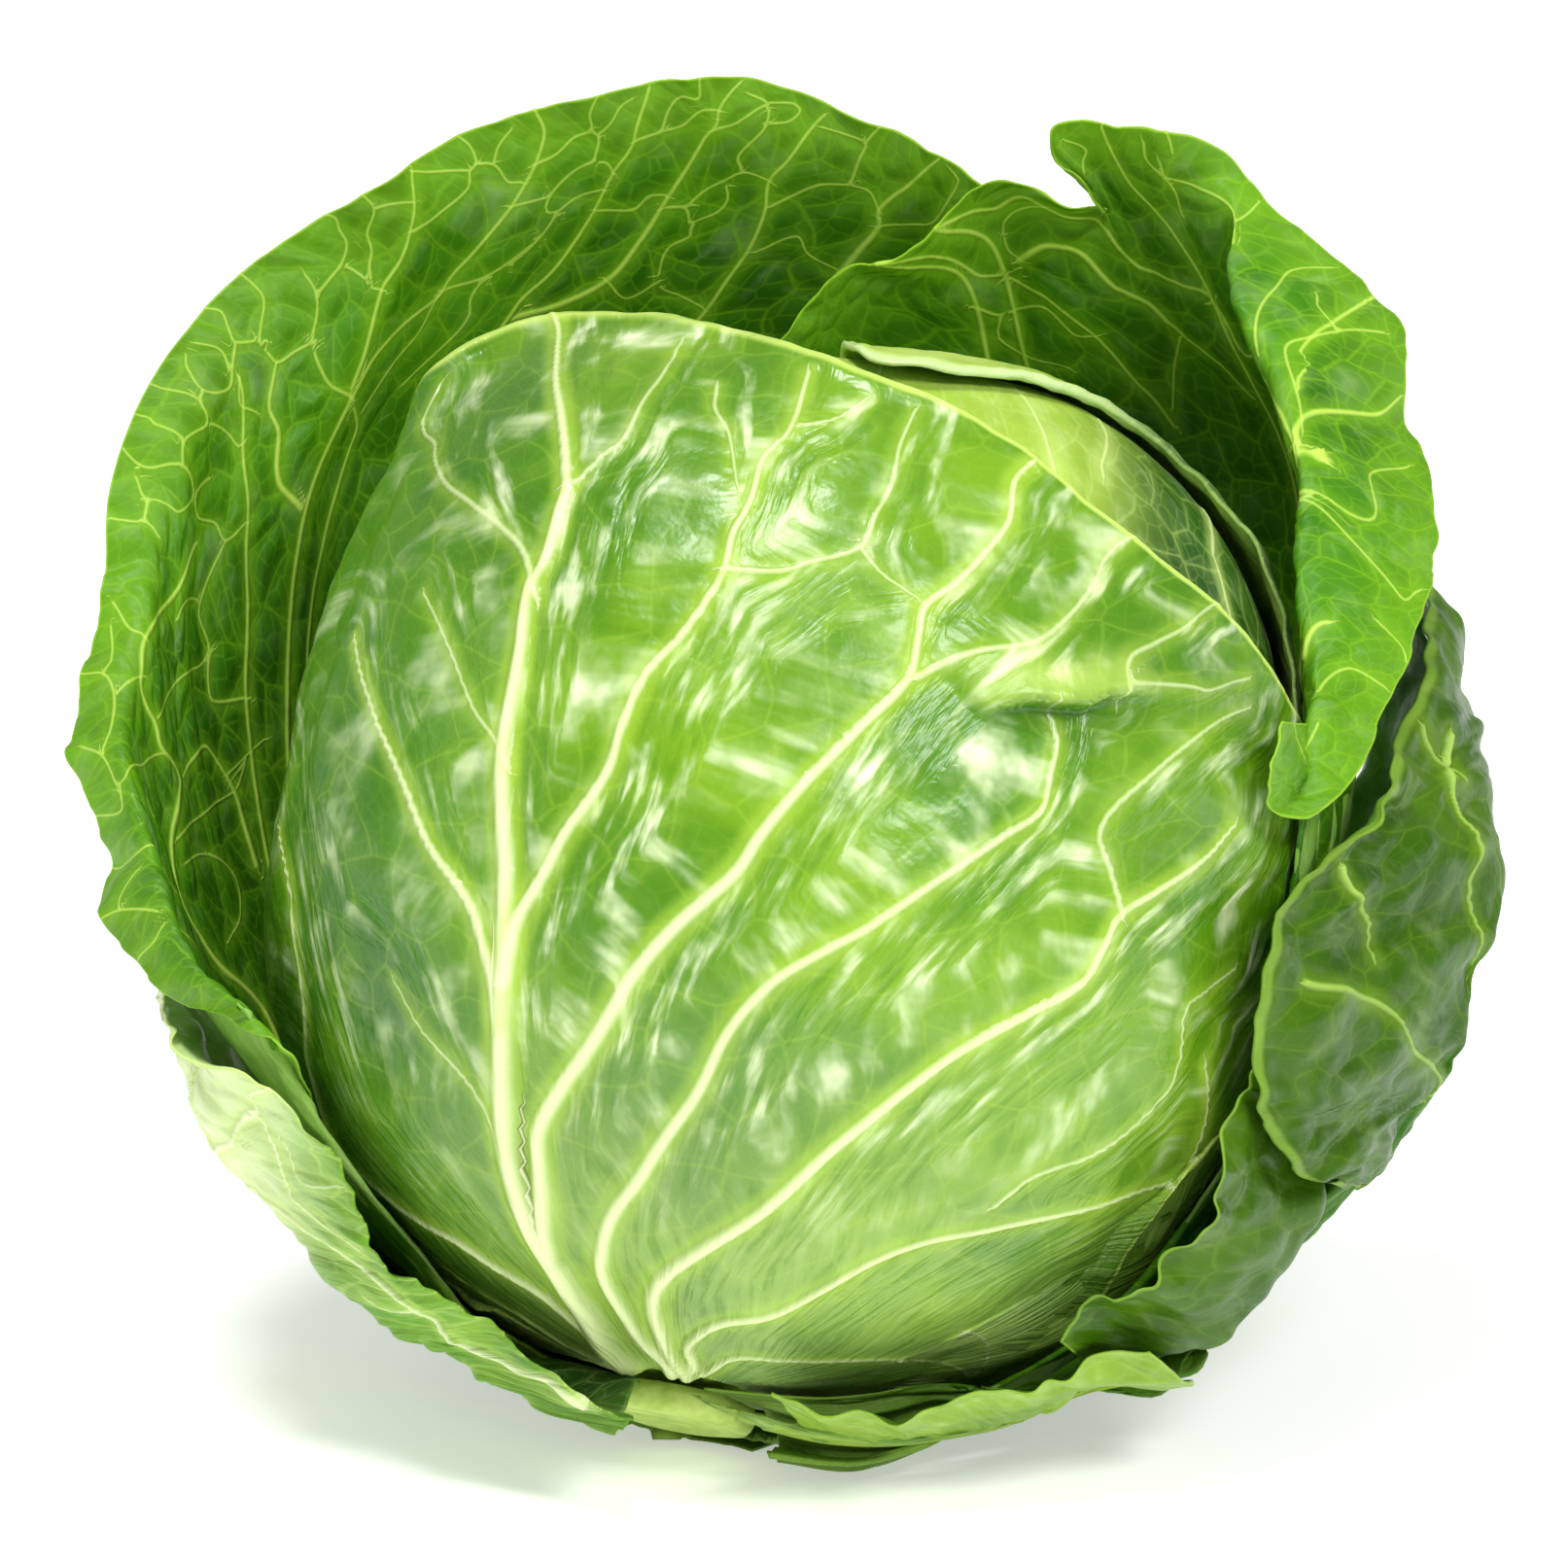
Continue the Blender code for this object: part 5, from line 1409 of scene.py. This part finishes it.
def fine_leaf(leaf, control, inside, reader):
    """The finished blade of one leaf."""
    look = {**PLAIN_LOOK, **LOOKS[leaf["name"]]}
    rng = random.Random(leaf["seed"] + 100)
    grid, w, s = fine_grid(control, *look["fine"])
    if leaf["name"] == "cover_leaf_rolled":
        grid = sunk(hugging(grid))
    if leaf["name"] == "leaf_lower_left":
        grid = held_in(grid)
    if leaf["name"] == "wrapper_right_low":
        grid = held_up(grid)
    shape = grid.shape[:2]
    normals = grid_normals(grid)
    climb = run_lengths(grid, 0)
    across = run_lengths(grid, 1)
    edge = np.minimum(climb[-1] - climb, np.minimum(across, across[:, -1:] - across))
    reach = climb + STEM_RADIUS
    angle = (across - across[:, across.shape[1] // 2][:, None]) / reach
    plan = np.stack([reach * np.cos(angle), reach * np.sin(angle)], axis=-1)
    plan += leaf["seed"] * PLAN_STEP

    fields = rib_fields(grid, normals, leaf_routes(look, grid, normals, w, s, rng))
    height = np.zeros(shape)
    near = np.full(shape, FAR)
    for field in fields.values():
        height = np.maximum(height, (ridge(field) * field[:, 2] * RIB_LIFT).reshape(shape))
        near = np.minimum(near, (field[:, 1] - field[:, 2]).reshape(shape))

    # The shares below grow from the stem to the margin, where a leaf is free to swell and wave
    open_part = np.clip((w - 0.35) / 0.4, 0.0, 1.0)[:, None] ** 1.5
    crease_part = np.clip((w - 0.2) / 0.5, 0.0, 1.0)[:, None]
    frill_part = np.clip(w * 2 - 0.4, 0, 1)[:, None] * np.clip(1 - edge / FRILL_REACH, 0.0, 1.0) ** 2
    pillow = eased(np.clip(np.minimum(net_distances(plan, reader), near + RIB_ROOM) / SWELL_WIDTH, 0.0, 1.0))
    bulge = look["bulge"] * (0.35 + 1.3 * open_part) * pillow
    lift = ripple(plan, rng, SWAY[0]) * SWAY[1] * open_part * look["frill"]
    crumple = sum(share * ripple(plan, rng, wavelength) for wavelength, share in CREASES)
    lift += crumple * CREASE_LIFT * look["crumple"] * crease_part
    lift += margin_frill(s, across[-1, -1], rng)[None, :] * look["frill"] * frill_part
    lift += bulge if look["facing"] < 0 else -bulge
    middle = grid + normals * lift[:, :, None]
    painted = {}
    if look["kind"] == "front":
        move, painted["fold_shade"], painted["fold_light"] = front_fold(grid, normals)
        middle += move

    width = look["rim_width"]
    thick_at, thick_over = look["roll"]
    roll = look["rim"] * (0.3 + 0.7 * np.exp(-((s - thick_at) / thick_over) ** 2))
    half = 0.5 * BLADE * (0.5 + 0.5 * np.clip(edge / EDGE_TAPER, 0.0, 1.0))
    half += roll * np.exp(-((edge - 1.2 * width) / width) ** 2)
    middle = kept_outside(middle, half, inside)
    floor = leaf["floor"] * FLOOR_STEP
    outer = rest_on_floor(middle + normals * (half + height)[:, :, None], floor)
    inner = rest_on_floor(middle - normals * (half + INNER_LIFT * height)[:, :, None], floor + 2 * half.min())
    outer, inner = outer.reshape(-1, 3), inner.reshape(-1, 3)

    turn = angle * FAN[0] + np.clip(near, 0.0, FAR) / FAN[1]
    fan = np.stack([turn, reach / FAN[2], np.zeros(shape)], axis=-1)
    attributes = {key: twice(values) for key, values in {**fields, **painted}.items()}
    for key, values in (("plan", np.pad(plan, [(0, 0), (0, 0), (0, 1)])), ("fan", fan), ("edge", edge),
                        ("climb", climb), ("rolled", np.broadcast_to(roll * width, shape))):
        attributes[key] = twice(values.reshape(-1, *values.shape[2:]))
    attributes["side"] = np.concatenate([np.ones(len(outer)), np.zeros(len(inner))])
    material = leaf_material(leaf["name"], {**PLAIN_KIND, **KINDS[look["kind"]]})
    name = leaf["name"] + "_leaf"
    piece = add_mesh(name, np.concatenate([outer, inner]), closed_blade(*shape), attributes, material)
    return piece, (outer, grid_quads(*shape))


# The heart's rings and sides, the degrees its rings run between, its ribs' half widths, spacing and swing in
# degrees and span, its relief in millimetres, and where its plan and its crease noise lie
HEART_FINE_RINGS = 200
HEART_FINE_SIDES = 300
HEART_POLES = (1.2, 178.8)
HEART_RIB = (1.5, 0.4)
HEART_RIB_TURN = 40.0
HEART_RIB_SWING = 20.0
HEART_RIB_SPAN = (0.03, 0.9)
HEART_RIB_LIFT = 0.35
HEART_SWELL = 0.12
HEART_SINK = 0.15
HEART_EDGE = 50.0
HEART_FAN = (18.0, 26.0)
HEART_PLAN_AT = 900.0
HEART_PLAN_WIDTH = 0.8
HEART_SEED = 401


def fine_heart(reader):
    """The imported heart, with the ribs of its outer leaves."""
    rings, sides = HEART_FINE_RINGS, HEART_FINE_SIDES
    polar = np.linspace(*HEART_POLES, rings)
    azimuth = np.linspace(-180.0, 180.0, sides + 1)
    grid = sunk(np.array([[around(a, t) for a in azimuth] for t in polar]))
    shape = grid.shape[:2]
    w, s = polar / 180.0, (azimuth + 180.0) / 360.0
    normals = grid_normals(grid)
    rng = random.Random(HEART_SEED)
    climb = run_lengths(grid, 0)
    routes = picked_ribs(grid, normals, HEART_RIBS_PX, -1)
    for start in np.arange(-170.0, 180.0, HEART_RIB_TURN):
        turn = rng.uniform(-HEART_RIB_SWING, HEART_RIB_SWING)
        path = []
        for t in np.linspace(*HEART_RIB_SPAN, 9):
            across = np.clip((start + turn * t + 180.0) / 360.0, 0, 1)
            path.append((np.interp(t, w, np.arange(rings)), np.interp(across, s, np.arange(sides + 1))))
        routes.append((*HEART_RIB, path))
    samples = [x for x in (rib_samples(grid, normals, r) for r in routes) if x is not None]
    field = rib_field(grid, samples)
    height = (ridge(field) * field[:, 2] * HEART_RIB_LIFT).reshape(shape)
    angle = np.radians(azimuth)[None, :] + np.zeros(shape)
    plan = np.stack([angle * HEAD_RADIUS * HEART_PLAN_WIDTH, climb], axis=-1) + HEART_PLAN_AT
    pillow = np.clip(net_distances(plan, reader) / SWELL_WIDTH, 0.0, 1.0)
    lift = height - HEART_SINK + HEART_SWELL * pillow
    outer = rest_on_floor(grid + normals * lift[:, :, None], HEART_FLOOR)
    outer[:, -1] = outer[:, 0]
    outer = outer.reshape(-1, 3)
    count = len(outer)
    sheet = grid_quads(*shape)
    caps = []
    for j in range(0, sides, 2):
        caps.append([count, j + 2, j + 1, j])
    last = (rings - 1) * (sides + 1)
    for j in range(last, last + sides, 2):
        caps.append([count + 1, j, j + 1, j + 2])
    poles = np.array([rest_on_floor(around(0.0, 0.0), HEART_FLOOR), around(0.0, 180.0)])
    fan = np.stack([angle * HEART_FAN[0], climb / HEART_FAN[1], np.zeros(shape)], axis=-1)

    def ended(values):
        """Values of the grid's points, with those of the two poles."""
        return np.concatenate([values, values[[0, -1]]])

    far = np.tile([FAR, FAR, NO_RIB], (count + 2, 1))
    attributes = {"edge": np.full(count + 2, HEART_EDGE), "side": np.ones(count + 2), "rib_main": far,
                  "rib_side": ended(field), "rib_fork": far, "climb": ended(climb.reshape(-1)),
                  "plan": ended(np.pad(plan, [(0, 0), (0, 0), (0, 1)]).reshape(-1, 3)),
                  "fan": ended(fan.reshape(-1, 3))}
    piece = add_mesh("heart_leaves", np.concatenate([outer, poles]), np.concatenate([sheet, np.array(caps)]),
                     attributes, leaf_material("heart", {**PLAIN_KIND, **KINDS["pale"]}))
    return piece, (outer, sheet)


# The cut stem: its greens with their places on the noise of its fibres, how many of these go on a millimetre,
# and the height of their bumps in millimetres
STEM_GREENS = ((0.3, (0.36, 0.52, 0.07, 1.0)), (0.7, (0.56, 0.72, 0.17, 1.0)))
STEM_FIBRES = 0.35
STEM_BUMP = 0.5


def stem_material():
    """Pale cut stem with mottled fibres."""
    material, tree, make, shader = new_material("stem")
    noise = make("ShaderNodeTexNoise", {"Vector": place_in_millimetres(make), "Scale": STEM_FIBRES,
                                        "Detail": 4.0}).outputs["Fac"]
    ramp = make("ShaderNodeValToRGB", {0: noise})
    for stop, (position, green) in zip(ramp.color_ramp.elements, STEM_GREENS):
        stop.color = green
        stop.position = position
    tree.links.new(ramp.outputs[0], shader.inputs["Base Color"])
    bump = make("ShaderNodeBump", {"Height": noise, "Distance": STEM_BUMP * MM, "Strength": 1.0})
    tree.links.new(bump.outputs[0], shader.inputs["Normal"])
    shader.inputs["Roughness"].default_value = 0.6
    return material


# The stem's profile: (distance from its end in millimetres, share of its radius), after two rings at its top
STEM_PROFILE = ((2.0, 1.0), (0.9, 0.97), (0.3, 0.93), (0.1, 0.80), (0.35, 0.62), (0.5, 0.40), (0.6, 0.18),
                (0.6, 0.02))
STEM_SIDES = 120
STEM_SEED = 77


def fine_stem():
    """The stem with a slightly uneven cut face."""
    sides = STEM_SIDES
    rng = random.Random(STEM_SEED)
    phase = [rng.uniform(0, 6.28) for _ in range(3)]
    profile = [(STEM_TOP, 0.96), (STEM_TOP + 1.4, 0.99)]
    profile += [(STEM_END - gap, share) for gap, share in STEM_PROFILE]
    points = []
    for height, share in profile:
        for j in range(sides):
            a = 2 * math.pi * j / sides
            wobble = 0.015 * math.sin(5 * a + phase[0]) + 0.012 * math.sin(9 * a + phase[1])
            r = STEM_RADIUS * share * (1 + wobble)
            lean = 0.15 * math.sin(2 * a + phase[2]) * share if height > STEM_END - 2 else 0.0
            points.append(STEM_AXIS * (height + lean) + r * (math.cos(a) * FRONT + math.sin(a) * SIDE))
    quads = []
    for i in range(len(profile) - 1):
        for j in range(sides):
            k = (j + 1) % sides
            quads.append((i * sides + j, i * sides + k, (i + 1) * sides + k, (i + 1) * sides + j))
    top = len(points)
    points.append(STEM_AXIS * STEM_TOP)
    points.append(STEM_AXIS * (STEM_END - 0.6))
    last = (len(profile) - 1) * sides
    for j in range(0, sides, 2):
        a, b, c = j, j + 1, (j + 2) % sides
        quads.append((top, c, b, a))
        quads.append((top + 1, last + a, last + b, last + c))
    return add_mesh("stem_cut", np.array(points), np.array(quads), {}, stem_material())


def fit_in(piece, node):
    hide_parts(node)
    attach(piece, "root")


def tree_from(pieces):
    verts, faces = [], []
    start = 0
    for points, quads in pieces:
        verts.append(points)
        faces.append(quads + start)
        start += len(points)
    return BVHTree.FromPolygons(np.concatenate(verts).tolist(), np.concatenate(faces).tolist())


def build():
    reader = net_reader()
    piece, shell = fine_heart(reader)
    fit_in(piece, "heart")
    inside, fine = [cad_heart()], [shell]
    for leaf in LEAVES:
        grid = clear_of(wave_margin(leaf_grid(leaf), leaf), join_tree(inside))
        inside.append(cad_blade(leaf, grid))
        piece, shell = fine_leaf(leaf, grid, tree_from(fine), reader)
        fine.append(shell)
        fit_in(piece, leaf["name"])
    fit_in(fine_stem(), "stem")


build()

# Floor, light and camera
FLOOR_HALF = 30.0
FLOOR_WHITE = (0.9, 0.9, 0.9, 1.0)
FLOOR_GLOW = 0.42
WHITE = (1.0, 1.0, 1.0, 1.0)
WORLD_LIGHT = 0.33
# The photograph's width in pixels and the camera's film width in millimetres
PHOTO_WIDTH = 1613
FILM_WIDTH = 36.0

floor_mesh = bpy.data.meshes.new("floor")
corners = [(x * FLOOR_HALF, y * FLOOR_HALF, 0) for x, y in ((-1, -1), (1, -1), (1, 1), (-1, 1))]
floor_mesh.from_pydata(corners, [], [(0, 1, 2, 3)])
floor = bpy.data.objects.new("floor", floor_mesh)
bpy.context.scene.collection.objects.link(floor)
floor_look, _, _, floor_shader = new_material("floor")
floor_shader.inputs["Base Color"].default_value = FLOOR_WHITE
floor_shader.inputs["Roughness"].default_value = 0.9
floor_shader.inputs["Emission Color"].default_value = WHITE
floor_shader.inputs["Emission Strength"].default_value = FLOOR_GLOW
floor_mesh.materials.append(floor_look)

world = bpy.data.worlds.new("studio")
bpy.context.scene.world = world
world.use_nodes = True
world.node_tree.nodes["Background"].inputs["Color"].default_value = WHITE
world.node_tree.nodes["Background"].inputs["Strength"].default_value = WORLD_LIGHT

centre = np.array(HEAD_CENTRE) * MM


def looking(name, data, direction, place):
    """A lamp or the camera, at a place and looking in a direction."""
    thing = bpy.data.objects.new(name, data)
    thing.location = place
    thing.rotation_mode = "QUATERNION"
    thing.rotation_quaternion = Vector(direction).to_track_quat("-Z", "Y")
    bpy.context.scene.collection.objects.link(thing)
    return thing


def softbox(name, offset, size, power):
    """A soft rectangular lamp at an offset from the head's centre, in metres, that looks at it."""
    light = bpy.data.lights.new(name, "AREA")
    light.shape = "RECTANGLE"
    light.size, light.size_y = size
    light.energy = power
    place = centre + view_vector(*offset)
    looking(name, light, centre - place, place)


def sunlight(name, towards, power, degrees):
    sun = bpy.data.lights.new(name, "SUN")
    sun.energy = power
    sun.angle = math.radians(degrees)
    looking(name, sun, -view_vector(*towards), centre)


softbox("front_box", (0.50, -0.85, 0.52), (0.45, 0.28), 7.5)
softbox("left_box", (-1.0, -0.25, 0.25), (0.3, 0.8), 1.2)
sunlight("key_sun", (-0.16, -0.46, 0.87), 2.35, 16.0)

camera = bpy.data.cameras.new("camera")
camera.sensor_width = FILM_WIDTH
camera.lens = FILM_WIDTH * VIEW_DISTANCE / (PHOTO_WIDTH * PIXEL)
aim = centre + UP * VIEW_AIM * MM
eye = looking("camera", camera, AWAY, aim - AWAY * VIEW_DISTANCE * MM)
bpy.context.scene.camera = eye
bpy.context.scene.view_settings.view_transform = "Standard"
